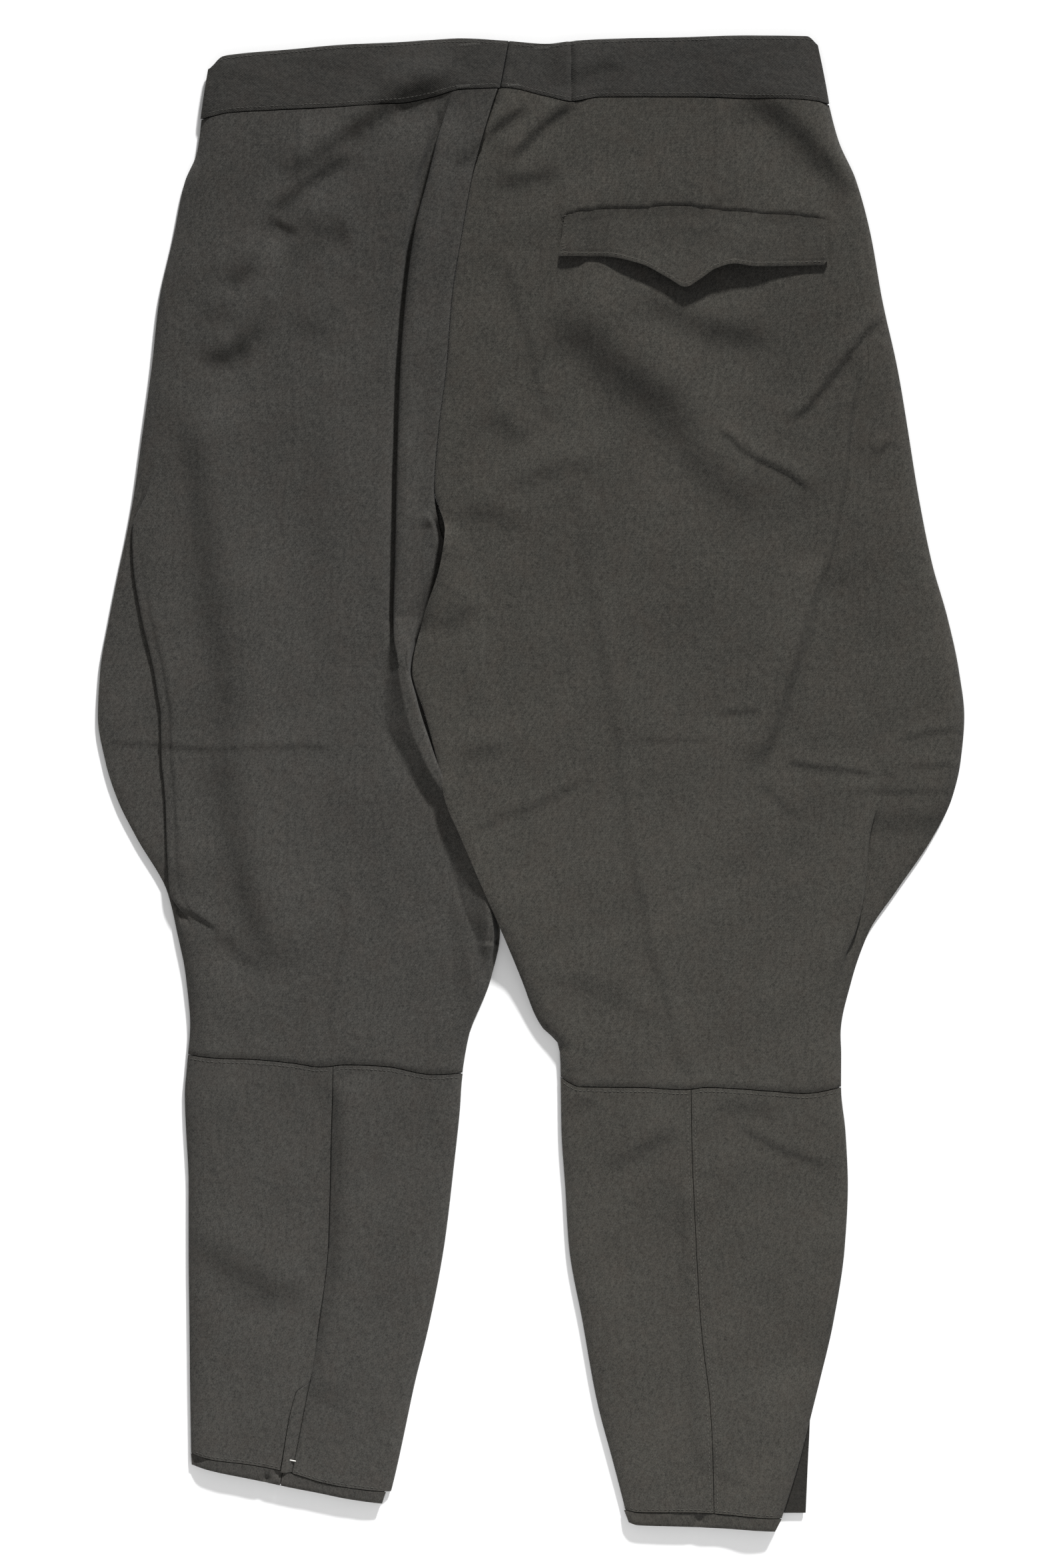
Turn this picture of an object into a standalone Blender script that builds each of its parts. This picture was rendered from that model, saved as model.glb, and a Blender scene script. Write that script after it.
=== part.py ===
"""A pair of breeches laid flat with the back up: cloth panels, each a closed wall of even thickness.

Every place is given by two numbers in millimetres: how far across (0 is the middle, plus is right)
and how far down from the top of the waistband. The cloth lies on z = 0, waist towards +Y.
"""

import bpy
import numpy as np

MM = 0.001
LENGTH = 989.0              # top of the waistband to the lowest hem
WALL = 1.2                  # one layer of the twill
BAND_WALL = 2.0             # waistband and hem binding, cloth folded double
FLAP_WALL = 1.8             # pocket flap, two layers pressed flat
SEAM = 0.3                  # free space between two pieces that are sewn together
BACK_REST = WALL + SEAM + WALL / 2      # middle of a back panel where it lies on a front panel
PUFF = 6.4                  # how much higher the back lies away from its edges, at the hip
CALF_PUFF = 4.6             # the same below the knee
ROLL = 5.0                  # how far in from an edge the cloth takes to reach that height
WING_PUFF = 1.6             # the flared wings outside the big folds lie lower
STEP = 18.0                 # distance between two rows of a panel
WAIST_START = 45.0          # first row of the thigh panels, then bent to the waist seam
LEFT_KNEE = 681.0           # last row of the left thigh, then bent to the knee seam
RIGHT_KNEE = 694.0
CROTCH = 327.0              # below here the legs part, and the right one lies over the left
FLY_END = 231.0             # the fly strip, set into the left front
FLY_WIDTH = 36.0
CLOTH = (0.061, 0.058, 0.050)
LINING = (0.034, 0.033, 0.029)


def table(names, *rows):
    """A dictionary of columns by name, from rows written out below one another."""
    columns = zip(*rows)
    return {name: np.array(column, float) for name, column in zip(names.split(), columns)}


# The outline of each leg, a row for each height: its outer and its inner edge.
LEFT_LEG = table(
    "down outer inner",
    (45, -218, -22),
    (70, -221, -31),
    (95, -229, -39),
    (130, -236, -45.5),
    (175, -246, -52.5),
    (220, -251, -56),
    (260, -256.5, -61),
    (300, -262, -64),
    (327, -267, -60),
    (350, -272, -50),
    (385, -279, -42),
    (420, -285, -36),
    (450, -286.5, -31),
    (480, -281.5, -28),
    (505, -273.5, -26),
    (530, -261, -24),
    (566, -240.5, -21.5),
    (592, -234, -20.5),
    (625, -228, -27),
    (660, -225.5, -41.5),
    (688, -227.5, -46),
    (705, -229, -47),
    (760, -226.5, -52.5),
    (800, -226.5, -57.5),
    (850, -226, -67),
    (900, -225.5, -79.5),
    (940, -225, -90),
    (971, -224.5, -98),
)
RIGHT_LEG = table(
    "down outer inner",
    (45, 197, -22),
    (70, 203.5, -31),
    (95, 214.5, -39),
    (130, 224, -45.5),
    (175, 232, -52.5),
    (220, 242, -56),
    (260, 249, -61),
    (300, 255.5, -64),
    (327, 260.5, -57),
    (350, 265.5, -60),
    (385, 275.5, -71),
    (420, 283, -78.5),
    (450, 286.5, -70),
    (480, 284, -62),
    (505, 278, -57),
    (530, 265.5, -46.5),
    (566, 241, -31),
    (592, 223.5, -19.5),
    (625, 211.5, -6),
    (660, 204.5, 7.5),
    (673, 205, 18.5),
    (694, 205, 19.5),
    (725, 208, 20),
    (760, 209.5, 22.5),
    (800, 207.5, 25),
    (850, 200, 34),
    (900, 188, 43),
    (940, 177.5, 53),
    (988, 162, 65),
)
# Lines down the left thigh: the lip where it rolls over the wing, the lip of the pleat beside the
# centre seam, and the bottom of the slope that goes under the right leg.
LEFT_LINES = table(
    "down lip pleat valley",
    (45, -190, -54, -38),
    (95, -202, -67, -53),
    (130, -210, -76, -61),
    (175, -222, -82, -67),
    (220, -232, -85.5, -70),
    (260, -240, -87, -74),
    (300, -254, -88, -75),
    (327, -263, -88.5, -66),
    (350, -262, -89, -63.5),
    (385, -256.5, -90, -74.5),
    (420, -248.5, -88, -81),
    (450, -244, -81, -72.5),
    (480, -243.5, -75, -64.5),
    (505, -241, -69, -59.5),
    (530, -240, -60, -49.5),
    (566, -238, -48, -35),
    (592, -222, -44, -26),
    (625, -205, -52, -34),
    (660, -198, -66, -50),
    (694, -195, -70, -54),
)
# Lines down the right thigh: the long crease, and the lip where the leg rolls over its wing.
RIGHT_LINES = table(
    "down crease lip",
    (45, 150, 176),
    (95, 180, 198),
    (130, 195, 210),
    (175, 210, 222),
    (220, 218, 231),
    (260, 211, 231),
    (300, 207, 232),
    (350, 196.5, 232),
    (385, 185, 232),
    (420, 173, 232),
    (450, 164, 232),
    (480, 155, 232),
    (505, 150, 231),
    (530, 148, 223),
    (566, 146, 219),
    (592, 144, 214),
    (615, 143, 206),
    (660, 140, 190),
    (694, 138, 186),
)
# How fully each fold is laid over at each height: 0 is a smooth slope, 1 is folded under.
FOLDING = table(
    "down left_lip pleat crease right_lip",
    (45, 0, 0.1, 0, 0),
    (90, 0, 0.8, 0, 0),
    (130, 0, 1, 0, 0),
    (195, 0, 1, 0.1, 0),
    (230, 0, 1, 0.6, 0),
    (290, 0.1, 1, 0.6, 0),
    (322, 0.8, 1, 0.6, 0),
    (350, 1, 0.9, 0.5, 0),
    (400, 1, 0.5, 0.2, 0),
    (440, 1, 0.3, 0.1, 0),
    (490, 1, 0, 0, 0),
    (510, 1, 0, 0, 0.2),
    (530, 1, 0, 0, 0.9),
    (562, 1, 0, 0, 1),
    (575, 0.6, 0, 0, 1),
    (592, 0, 0, 0, 0.8),
    (612, 0, 0, 0, 0.2),
    (640, 0, 0, 0, 0),
)
# The seam in the middle of each calf, and the open vents below it.
CALF_LINES = table(
    "down left_seam left_vent right_seam",
    (675, -130.5, -130.5, 105.5),
    (725, -132, -132, 106),
    (800, -134, -134, 109),
    (850, -140, -140.5, 112),
    (885, -146, -148, 116),
    (900, -151, -156, 118),
    (940, -157, -163.5, 120),
    (990, -166, -170, 121),
)
# Seams that run across: how far down each one is at places from left to right.
WAIST = table(
    "across top seam",
    (-219, 20, 55.5),
    (-210, 16, 54),
    (-200, 13, 52),
    (-157, 9, 49.5),
    (-122, 6, 48),
    (-87, 4.5, 45.5),
    (-65, 3, 41),
    (-47, 2, 36.5),
    (-17, 3.5, 35.5),
    (10, 5.5, 41),
    (26, 4, 44.5),
    (45, 2.5, 41.5),
    (107, 1, 41.5),
    (142, 0, 42.5),
    (183, 0.5, 44),
    (197, 5, 45.5),
)
LEFT_SEAMS = table(
    "across knee hem edge",
    (-230, 673, 935.5, 943),
    (-210, 675.5, 941, 948.5),
    (-183, 676.5, 944.5, 954),
    (-157, 679, 950, 959.5),
    (-139, 681.5, 955.5, 963),
    (-122, 680, 959, 966.5),
    (-97, 681, 962, 970),
    (-65, 686.5, 965, 973),
    (-40, 685.5, 967, 975),
)
RIGHT_SEAMS = table(
    "across knee hem edge",
    (15, 684, 972, 980),
    (23.5, 691, 972.5, 981),
    (32, 694.5, 973, 981.5),
    (62, 695, 974.5, 982),
    (70, 695, 975.5, 984),
    (102, 696.5, 975.5, 985),
    (115, 695, 976, 985.5),
    (160, 697.5, 979.5, 988),
    (180, 699, 980.5, 989),
    (210, 694, 982, 989),
)
# The pocket flap, pointed a little left of its middle.
FLAP = table(
    "across top edge lift",
    (19, 123.5, 147, 0),
    (26, 118.5, 147, 0),
    (45, 116, 147, 0.4),
    (72, 115, 152.5, 1.6),
    (90, 113.5, 162, 3.4),
    (101.5, 113.5, 168, 4.4),
    (110, 114.5, 163.5, 3.6),
    (122, 116, 155.5, 2),
    (134, 117, 152.5, 1),
    (147, 118, 154, 0.5),
    (178, 120, 153, 0.2),
    (195.5, 122.5, 152.5, 0),
)
# A fold seen end on, from the low cloth to the high cloth: where each point is when the cloth is
# smooth, where it is when folded, both across from the lip, and its share of the climb.
FOLD_SECTION = table(
    "smooth folded climb",
    (-9, 0, 0),
    (-5, 5, 0),
    (-2, 7.5, 0.18),
    (0, 5, 0.37),
    (2, 1, 0.52),
    (4, -0.5, 0.75),
    (6.5, 1.5, 0.95),
    (10, 6, 1),
)
# Broad soft troughs and ridges of the back: a line from one place to another, with half its width.
SOFT_LINES = table(
    "across down to_across to_down half height",
    (-100, 46, -139, 72, 11, -2.2),
    (-139, 72, -166, 107, 11, -2.2),
    (-166, 107, -181, 148, 12, -2.0),
    (-163, 136, -179, 201, 13, -1.4),
    (-117, 140, -135, 188, 13, -1.3),
    (2, 48, -38, 78, 9, -1.6),
    (26, 48, -16, 85, 9, -1.6),
    (155, 48, 188, 80, 11, -2.0),
    (188, 80, 214, 100, 10, -1.4),
    (2, 182, 56, 208, 12, -1.5),
    (43, 188, 126, 197, 14, -1.2),
    (-238, 573, -190, 610, 10, -2.0),
    (-122, 560, -134, 664, 9, 1.0),
    (58, 373, 60, 549, 10, 0.8),
    (124, 258, 182, 299, 12, -1.3),
    (173, 484, 230, 489, 11, -1.1),
)


def smooth(columns, name, where):
    """The value of a column between its rows, on a curve that never overshoots a row."""
    first = "down" if "down" in columns else "across"
    x, y = columns[first], columns[name]
    where = np.clip(where, x[0], x[-1])
    step = np.diff(x)
    slope = np.diff(y) / step
    product, total = slope[1:] * slope[:-1], slope[1:] + slope[:-1]
    inner = np.where(product > 0, 2 * product / np.where(product > 0, total, 1), 0)
    tangent = np.concatenate([[slope[0]], inner, [slope[-1]]])
    i = np.clip(np.searchsorted(x, where) - 1, 0, len(step) - 1)
    t = (where - x[i]) / step[i]
    return (
        (1 + 2 * t) * (1 - t) ** 2 * y[i]
        + t * (1 - t) ** 2 * step[i] * tangent[i]
        + t * t * (3 - 2 * t) * y[i + 1]
        - t * t * (1 - t) * step[i] * tangent[i + 1]
    )


def ease(value, start, end):
    """0 before start, 1 after end, and a soft curve between them."""
    t = np.clip((value - start) / (end - start), 0, 1)
    return t * t * (3 - 2 * t)


def blend(a, b, share):
    return a + (b - a) * share


def soft_relief(across, down):
    """The broad troughs and ridges together, at one place."""
    total = 0.0
    for i in range(len(SOFT_LINES["half"])):
        line = {name: column[i] for name, column in SOFT_LINES.items()}
        run = np.array([line["to_across"] - line["across"], line["to_down"] - line["down"]])
        to = np.array([across - line["across"], down - line["down"]])
        along = np.clip(to @ run / (run @ run), 0, 1)
        away = np.hypot(*(to - along * run))
        total += line["height"] * np.exp(-(away / line["half"]) ** 2)
    return total


def rise(inside):
    """0 at an edge, and 1 well inside it."""
    return 1 - np.exp(-max(inside, 0) / ROLL)


def back_height(side, across, down):
    """Height of the middle of the back cloth over the surface, from its distance to each edge."""
    leg = LEFT_LEG if side == "left" else RIGHT_LEG
    sign = -1 if side == "left" else 1
    outer = sign * (smooth(leg, "outer", down) - across)
    inner = sign * (across - smooth(leg, "inner", down))
    if side == "left" and down < 600:
        inner = smooth(LEFT_LINES, "valley", down) + 1 - across
    together = CROTCH if side == "left" else CROTCH + 30
    inner += 60 * (1 - ease(down, together - 28, together))
    puff = blend(PUFF, CALF_PUFF, ease(down, 600, 760))
    over_placket = 0
    if side == "right":
        over_placket = 1.9 * ease(down, 876, 900) * (1 - ease(outer, 14, 40))
    height = BACK_REST + puff * rise(outer) * rise(inner) + over_placket
    return height + soft_relief(across, down) * rise(outer)


def stack_lift(across, down):
    """How far the right leg is raised where it lies over the inner edge of the left leg."""
    over = smooth(LEFT_LEG, "inner", down) - across
    return (2 * (WALL + SEAM) + 0.4) * ease(over, -18, -1) * ease(down, CROTCH - 6, CROTCH + 4) \
        * (1 - ease(down, 596, 640))


def bend_rows(side, across, station, last):
    """The real distance down of a row: bent to the waist seam above and the knee seam below."""
    knee = LEFT_SEAMS if side == "left" else RIGHT_SEAMS
    above = (smooth(WAIST, "seam", across) + SEAM - WAIST_START) * (1 - ease(station, 45, 110))
    below = (smooth(knee, "knee", across) - SEAM - last) * ease(station, last - 60, last)
    return station + above + below


def stations(start, end, step, *extra):
    """Rows evenly spaced between two heights, with a few more where the shape turns quickly."""
    even = np.linspace(start, end, int(round((end - start) / step)) + 1)
    free = [e for e in extra if np.min(abs(even - e)) > 3]
    return np.sort(np.concatenate([even, free]))


def spread(start, end, count, closer=1.0):
    """Places between two others, without the two themselves; closer than even near the start."""
    share = np.linspace(0, 1, count + 2)[1:-1] ** closer
    return list(start + (end - start) * share)


def fold(lip, weight, low_side, room_low, room_high, low, high, lie):
    """The points of one fold, from left to right: low_side is -1 where the low cloth is on the left."""
    points = []
    for smooth_at, folded_at, climb in zip(*FOLD_SECTION.values()):
        reach = min(1, (room_low if smooth_at < 0 else room_high) / 11)
        flat_x = lip - low_side * smooth_at * reach
        fold_x = lip - low_side * folded_at * min(1, room_high / 11)
        x = blend(flat_x, fold_x, weight)
        z = blend(lie(flat_x), blend(low(x), high(x), climb), weight)
        points.append((x, z))
    return points if low_side < 0 else points[::-1]


def left_back_row(station):
    """One section across the left back thigh, from its outer edge to its inner edge."""
    outer = smooth(LEFT_LEG, "outer", station)
    inner = smooth(LEFT_LEG, "inner", station) - SEAM / 2 * 1.2
    lip, pleat, valley = (smooth(LEFT_LINES, n, station) for n in ("lip", "pleat", "valley"))
    lap = smooth(FOLDING, "left_lip", station)
    tuck = smooth(FOLDING, "pleat", station)

    def lie(x):
        return back_height("left", x, station)

    def wing(x):
        return BACK_REST + WING_PUFF * rise(x - outer)

    def over_wing(x):
        return BACK_REST + PUFF + 0.6 + soft_relief(x, station)

    def dip(x):
        before = -3.6 * tuck * np.exp(-abs(pleat - 9 - x) / 30) if x < pleat - 8 else -3.6 * tuck
        return lie(x) + before

    def crown(x):
        return lie(x) + 2.4 * tuck

    half = (outer + lip) / 2
    row = [(outer, blend(lie(outer), wing(outer), lap)), (half, blend(lie(half), wing(half), lap))]
    row += fold(lip, lap, -1, (lip - outer) * 0.8, 30, wing, over_wing, lie)
    start = blend(lip + 10, lip + 6, lap)
    row += [(x, dip(x)) for x in spread(start, pleat - 9, 6)]
    row += fold(pleat, tuck, -1, 30, valley - pleat, dip, crown, lie)
    edge_of_pleat = row[-1][0]
    for x in spread(edge_of_pleat, valley, 1) + [valley, valley + 1.5, inner]:
        row.append((x, lie(x) + 2.4 * tuck * np.exp(-(x - edge_of_pleat) / 9) * rise(valley - x + 2)))
    return row


def right_back_row(station):
    """One section across the right back thigh, from its inner edge to its outer edge."""
    outer = smooth(RIGHT_LEG, "outer", station)
    inner = smooth(RIGHT_LEG, "inner", station) + SEAM / 2 * 1.2
    crease, lip = (smooth(RIGHT_LINES, n, station) for n in ("crease", "lip"))
    tuck = smooth(FOLDING, "crease", station)
    lap = smooth(FOLDING, "right_lip", station)

    def lie(x):
        return back_height("right", x, station) + stack_lift(x, station)

    def wing(x):
        return BACK_REST + WING_PUFF * rise(outer - x)

    def over_wing(x):
        return BACK_REST + PUFF + 0.6 + soft_relief(x, station)

    def dip(x):
        before = 2.4 * tuck * np.exp(-abs(crease - 9 - x) / 26) if x < crease - 8 else 2.4 * tuck
        return lie(x) - before

    def crown(x):
        return lie(x) + 1.8 * tuck * np.exp(-max(x - crease - 6, 0) / 16)

    row = [(inner, lie(inner)), (inner + 5, lie(inner + 5)), (inner + 14, lie(inner + 14))]
    row += [(x, dip(x)) for x in spread(inner + 14, crease - 9, 8, 1.2)]
    row += fold(crease, tuck, -1, 30, (lip - crease) * 0.5, dip, crown, lie)
    row += [(x, crown(x)) for x in spread(row[-1][0], lip - 10 * min(1, (lip - row[-1][0]) / 30), 1)]
    row += fold(lip, lap, 1, (outer - lip) * 0.8, (lip - row[-1][0]) * 0.8, wing, over_wing, lie)
    half = (outer + lip) / 2 if lap > 0.3 else (outer + row[-1][0]) / 2
    for x in (half, outer):
        row.append((x, blend(lie(x), wing(x), lap)))
    return row


def front_places(side, station):
    """Where the points of a front section are, from its outer edge to its inner edge."""
    leg = LEFT_LEG if side == "left" else RIGHT_LEG
    sign = -1 if side == "left" else 1
    inner = smooth(leg, "inner", station) + sign * (SEAM if station < CROTCH else 1)
    if side == "left" and station < FLY_END:
        inner -= FLY_WIDTH
    outer = smooth(leg, "outer", station) - sign * 0.6
    under = max(smooth(LEFT_LEG, "inner", station) - inner, 0) if side == "right" else 0
    near = [inner + sign * away for away in (max(18, under + 20), max(9, under + 1.5), 1.5, 0)]
    places = [outer, *spread(outer, near[0], 4), *near]
    return places if side == "left" else places[::-1]


def front_row(side, station):
    """One section across a front thigh, flat on the surface; the right one climbs over the left."""
    lift = stack_lift if side == "right" else (lambda x, d: 0)
    return [(x, WALL / 2 + lift(x, station)) for x in front_places(side, station)]


def to_point(across, down, height):
    return (across * MM, (LENGTH / 2 - down) * MM, height * MM)


def grid_normals(grid):
    """The direction straight out of the cloth at each point, and straight up along its edges."""
    down = np.gradient(grid, axis=0)
    across = np.gradient(grid, axis=1)
    normal = np.cross(down, across)
    normal /= np.linalg.norm(normal, axis=2, keepdims=True)
    for edge in (normal[0], normal[-1], normal[:, 0], normal[:, -1]):
        edge[:] = (0, 0, 1)
    return normal


def wall_faces(rows, columns):
    """Faces of a closed wall: the upper side, the lower side and the rim between them."""
    lower = rows * columns
    faces = []
    for r in range(rows - 1):
        for c in range(columns - 1):
            a = r * columns + c
            b, d, e = a + 1, a + columns, a + columns + 1
            faces.append((a, d, e, b))
            faces.append((a + lower, b + lower, e + lower, d + lower))
    top = [(c, c + 1) for c in range(columns - 1)]
    bottom = [((rows - 1) * columns + c + 1, (rows - 1) * columns + c) for c in range(columns - 1)]
    left = [((r + 1) * columns, r * columns) for r in range(rows - 1)]
    right = [(r * columns + columns - 1, (r + 1) * columns + columns - 1) for r in range(rows - 1)]
    faces += [(a, b, b + lower, a + lower) for a, b in top + bottom + left + right]
    return faces


def cloth(name, grid, wall, colour, roughness=0.92):
    """A piece of cloth: the grid is the middle of its wall, rows from the waist down."""
    grid = np.array(grid, float)
    out = grid_normals(grid) * wall / 2 * MM
    points = np.concatenate([(grid + out).reshape(-1, 3), (grid - out).reshape(-1, 3)])
    mesh = bpy.data.meshes.new(name)
    mesh.from_pydata(points.tolist(), [], wall_faces(grid.shape[0], grid.shape[1]))
    mesh.shade_smooth()
    mesh.set_sharp_from_angle(angle=0.9)
    material = bpy.data.materials.new(name)
    material.use_nodes = True
    shader = material.node_tree.nodes["Principled BSDF"]
    shader.inputs["Base Color"].default_value = (*colour, 1)
    shader.inputs["Roughness"].default_value = roughness
    shader.inputs["Metallic"].default_value = 0
    mesh.materials.append(material)
    piece = bpy.data.objects.new(name, mesh)
    bpy.context.scene.collection.objects.link(piece)
    return piece


def thigh_grid(side, rows, last, section):
    """All the sections of a thigh panel, each bent to the seams above and below it."""
    grid = []
    for station in rows:
        grid.append([to_point(x, bend_rows(side, x, station, last), z) for x, z in section(station)])
    return grid


def front_left_rows():
    return stations(WAIST_START, LEFT_KNEE, 34, FLY_END - 1, FLY_END + 6, CROTCH)


def make_thighs():
    left_rows = stations(WAIST_START, LEFT_KNEE, STEP, 58, 322, 333, 341, 566, 573)
    right_rows = stations(WAIST_START, RIGHT_KNEE, STEP, 58, 322, 332, 340, 521, 608, 668)
    cloth("thigh_back_left", thigh_grid("left", left_rows, LEFT_KNEE, left_back_row), WALL, CLOTH)
    cloth("thigh_back_right", thigh_grid("right", right_rows, RIGHT_KNEE, right_back_row), WALL, CLOTH)
    front_left = front_left_rows()
    front_right = stations(WAIST_START, RIGHT_KNEE, 30, 318, 322, 326, 331, 337)
    cloth("thigh_front_left", thigh_grid("left", front_left, LEFT_KNEE,
                                         lambda s: front_row("left", s)), WALL, CLOTH)
    cloth("thigh_front_right", thigh_grid("right", front_right, RIGHT_KNEE,
                                          lambda s: front_row("right", s)), WALL, CLOTH)


def make_fly():
    """A plain fly strip, set into the left front beside the centre seam."""
    grid = []
    for station in [s for s in front_left_rows() if s < FLY_END]:
        grid.append([to_point(x, bend_rows("left", x, station, LEFT_KNEE), WALL / 2)
                     for x in fly_places(station)])
    cloth("fly", grid, WALL, CLOTH)


def calf_grid(side, start_name, end_name, layer, step, count):
    """A calf panel between two lines, from the knee seam to the hem line."""
    leg, seams = (LEFT_LEG, LEFT_SEAMS) if side == "left" else (RIGHT_LEG, RIGHT_SEAMS)
    knee, hem = (LEFT_KNEE, 950) if side == "left" else (RIGHT_KNEE, 977)
    grid = []
    for station in stations(knee, hem, step):
        ends = []
        for name, sign in ((start_name, 1), (end_name, -1)):
            line = leg if name in leg else CALF_LINES
            space = SEAM * 0.7 if line is CALF_LINES else (0 if layer == "back" else 0.6)
            ends.append(smooth(line, name, station) + sign * space)
        row = []
        places = [ends[0], *spread(ends[0], ends[1], count), ends[1]]
        for x in places if layer == "back" else front_places(side, station):
            above = (smooth(seams, "knee", x) + SEAM - knee) * (1 - ease(station, knee, knee + 70))
            below = (smooth(seams, "hem", x) - SEAM - hem) * ease(station, hem - 70, hem)
            down = station + above + below
            z = back_height(side, x, station) if layer == "back" else WALL / 2
            row.append(to_point(x, down, z))
        grid.append(row)
    return grid


def make_calves():
    cloth("calf_back_left_outer", calf_grid("left", "outer", "left_vent", "back", 24, 7), WALL, CLOTH)
    cloth("calf_back_left_inner", calf_grid("left", "left_seam", "inner", "back", 24, 7), WALL, CLOTH)
    cloth("calf_back_right_inner", calf_grid("right", "inner", "right_seam", "back", 24, 7), WALL, CLOTH)
    cloth("calf_back_right_outer", calf_grid("right", "right_seam", "outer", "back", 24, 7), WALL, CLOTH)
    cloth("calf_front_left", calf_grid("left", "outer", "inner", "front", 34, 8), WALL, CLOTH)
    cloth("calf_front_right", calf_grid("right", "inner", "outer", "front", 34, 8), WALL, CLOTH)


def fly_places(station):
    inner = smooth(LEFT_LEG, "inner", station) - SEAM
    return np.linspace(inner - FLY_WIDTH + 2 * SEAM, inner, 4)


def band_grid(places, start, end, height):
    """A strip of the waistband between two ends that slope a little outwards as they go down."""
    grid = []
    for share in np.linspace(0, 1, 5):
        first, last = blend(start[0], start[1], share), blend(end[0], end[1], share)
        row = []
        for place in places:
            x = first + (last - first) * (place - places[0]) / (places[-1] - places[0])
            corner = 5 * (1 - ease(min(x + 213, 191 - x), 0, 9)) * (1 - share)
            seam = smooth(WAIST, "seam", x) - SEAM * 1.6
            down = blend(smooth(WAIST, "top", x) + corner, seam, share)
            row.append(to_point(x, down, height(x, share)))
        grid.append(row)
    return grid


def make_waistband():
    """Four curved strips: two behind, with their ends on the side seams, and two in front."""
    def behind(x, share):
        side = rise(min(x + 218.5, 197 - x))
        middle_fold = 1.3 * np.exp(-((x - 27) / 9) ** 2) - soft_band(x)
        return BAND_WALL * 1.5 + SEAM + (1.2 + 2.6 * share) * side + middle_fold

    def in_front(x, share):
        return BAND_WALL / 2

    even = np.linspace(0, 1, 23)
    left = [*front_places("left", WAIST_START), *fly_places(WAIST_START)]
    right = front_places("right", WAIST_START)
    strips = (
        ("waistband_back_left", even, (-213.5, -218.5), (-14.9, -20.7), behind),
        ("waistband_back_right", even, (-14.4, -20.2), (189.5, 197), behind),
        ("waistband_front_left", left, (-212.5, left[0]), (-16.5, left[-1]), in_front),
        ("waistband_front_right", right, (-15.7, right[0]), (188.5, right[-1]), in_front),
    )
    for name, places, start, end, height in strips:
        cloth(name, band_grid(places, start, end, height), BAND_WALL, CLOTH)


def soft_band(across):
    """The waistband dips a little beside its middle fold."""
    return 0.9 * np.exp(-((across - 8) / 10) ** 2) + 0.9 * np.exp(-((across - 46) / 10) ** 2)


def make_flap():
    """The pocket flap, on the right back thigh and following its surface, with a lifted point."""
    grid = []
    across = [19.5, 26, 36, 48, 60, 72, 81, 90, 97, 101.5, 106, 112, 120, 128, 138, 150, 165, 180, 195]
    for share in (0, 0.25, 0.5, 0.75, 1):
        row = []
        for x in across:
            down = blend(smooth(FLAP, "top", x), smooth(FLAP, "edge", x), share)
            under = back_height("right", x, down)
            lift = smooth(FLAP, "lift", x) * share ** 1.5
            row.append(to_point(x, down, under + WALL / 2 + SEAM + FLAP_WALL / 2 + 0.5 + lift))
        grid.append(row)
    cloth("pocket_flap", grid, FLAP_WALL, CLOTH)


def hem_grid(side, start, end, layer, count):
    """A hem binding between two places across, just below the calf panel."""
    seams = LEFT_SEAMS if side == "left" else RIGHT_SEAMS
    grid = []
    for share in (0, 0.5, 1):
        row = []
        for x in np.linspace(blend(start[0], start[1], share), blend(end[0], end[1], share), count):
            down = blend(smooth(seams, "hem", x) + SEAM, smooth(seams, "edge", x), share)
            z = WALL / 2
            if layer == "back":
                z = BACK_REST + CALF_PUFF * rise(min(x - start[0], end[0] - x) * 0.8) * 0.8
            row.append(to_point(x, down, z))
        grid.append(row)
    return grid


def make_hems():
    cloth("hem_back_left_outer", hem_grid("left", (-225, -224.5), (-164.5, -166), "back", 8), WALL, CLOTH)
    cloth("hem_back_left_inner", hem_grid("left", (-158.5, -160), (-96, -98.5), "back", 8), WALL, CLOTH)
    cloth("hem_back_right", hem_grid("right", (61.5, 64.5), (165.5, 161), "back", 12), WALL, CLOTH)
    cloth("hem_front_left", hem_grid("left", (-224.5, -224), (-97, -99), "front", 9), WALL, CLOTH)
    cloth("hem_front_right", hem_grid("right", (62.5, 65), (165, 161), "front", 9), WALL, CLOTH)


def make_vents():
    """The strips that show inside the two open vents at the hems."""
    left = []
    for down in (890, 905, 920, 935, 946):
        middle = smooth(CALF_LINES, "left_vent", down)
        left.append([to_point(middle + x, down, BACK_REST) for x in (-9, -3, 3, 9)])
    cloth("vent_underlap_left", left, WALL, LINING)
    right = []
    for down, edge in ((908, 184.6), (925, 184), (940, 183.2), (958, 182.4), (974, 181.6)):
        right.append([to_point(edge + x, down, BACK_REST) for x in (-24, -16, -8, 0)])
    cloth("vent_placket_right", right, WALL, LINING)


def main():
    for old in list(bpy.data.objects):
        bpy.data.objects.remove(old, do_unlink=True)
    make_thighs()
    make_fly()
    make_calves()
    make_waistband()
    make_flap()
    make_hems()
    make_vents()


main()
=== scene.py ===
# %% [markdown]
# # Breeches laid flat
#
# This lesson dresses a plain solid model of a pair of breeches so that it looks like cloth. The
# garment lies on its front: what shows is the back, in a dark stone-grey twill, with a waistband,
# one pointed pocket flap, wide thighs and narrow calves. The solid model is loaded first. It is
# the frame: no piece below may change its size or its place.

# %% Load the frame
import bpy
import numpy as np
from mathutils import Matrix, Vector
from mathutils.bvhtree import BVHTree


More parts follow.
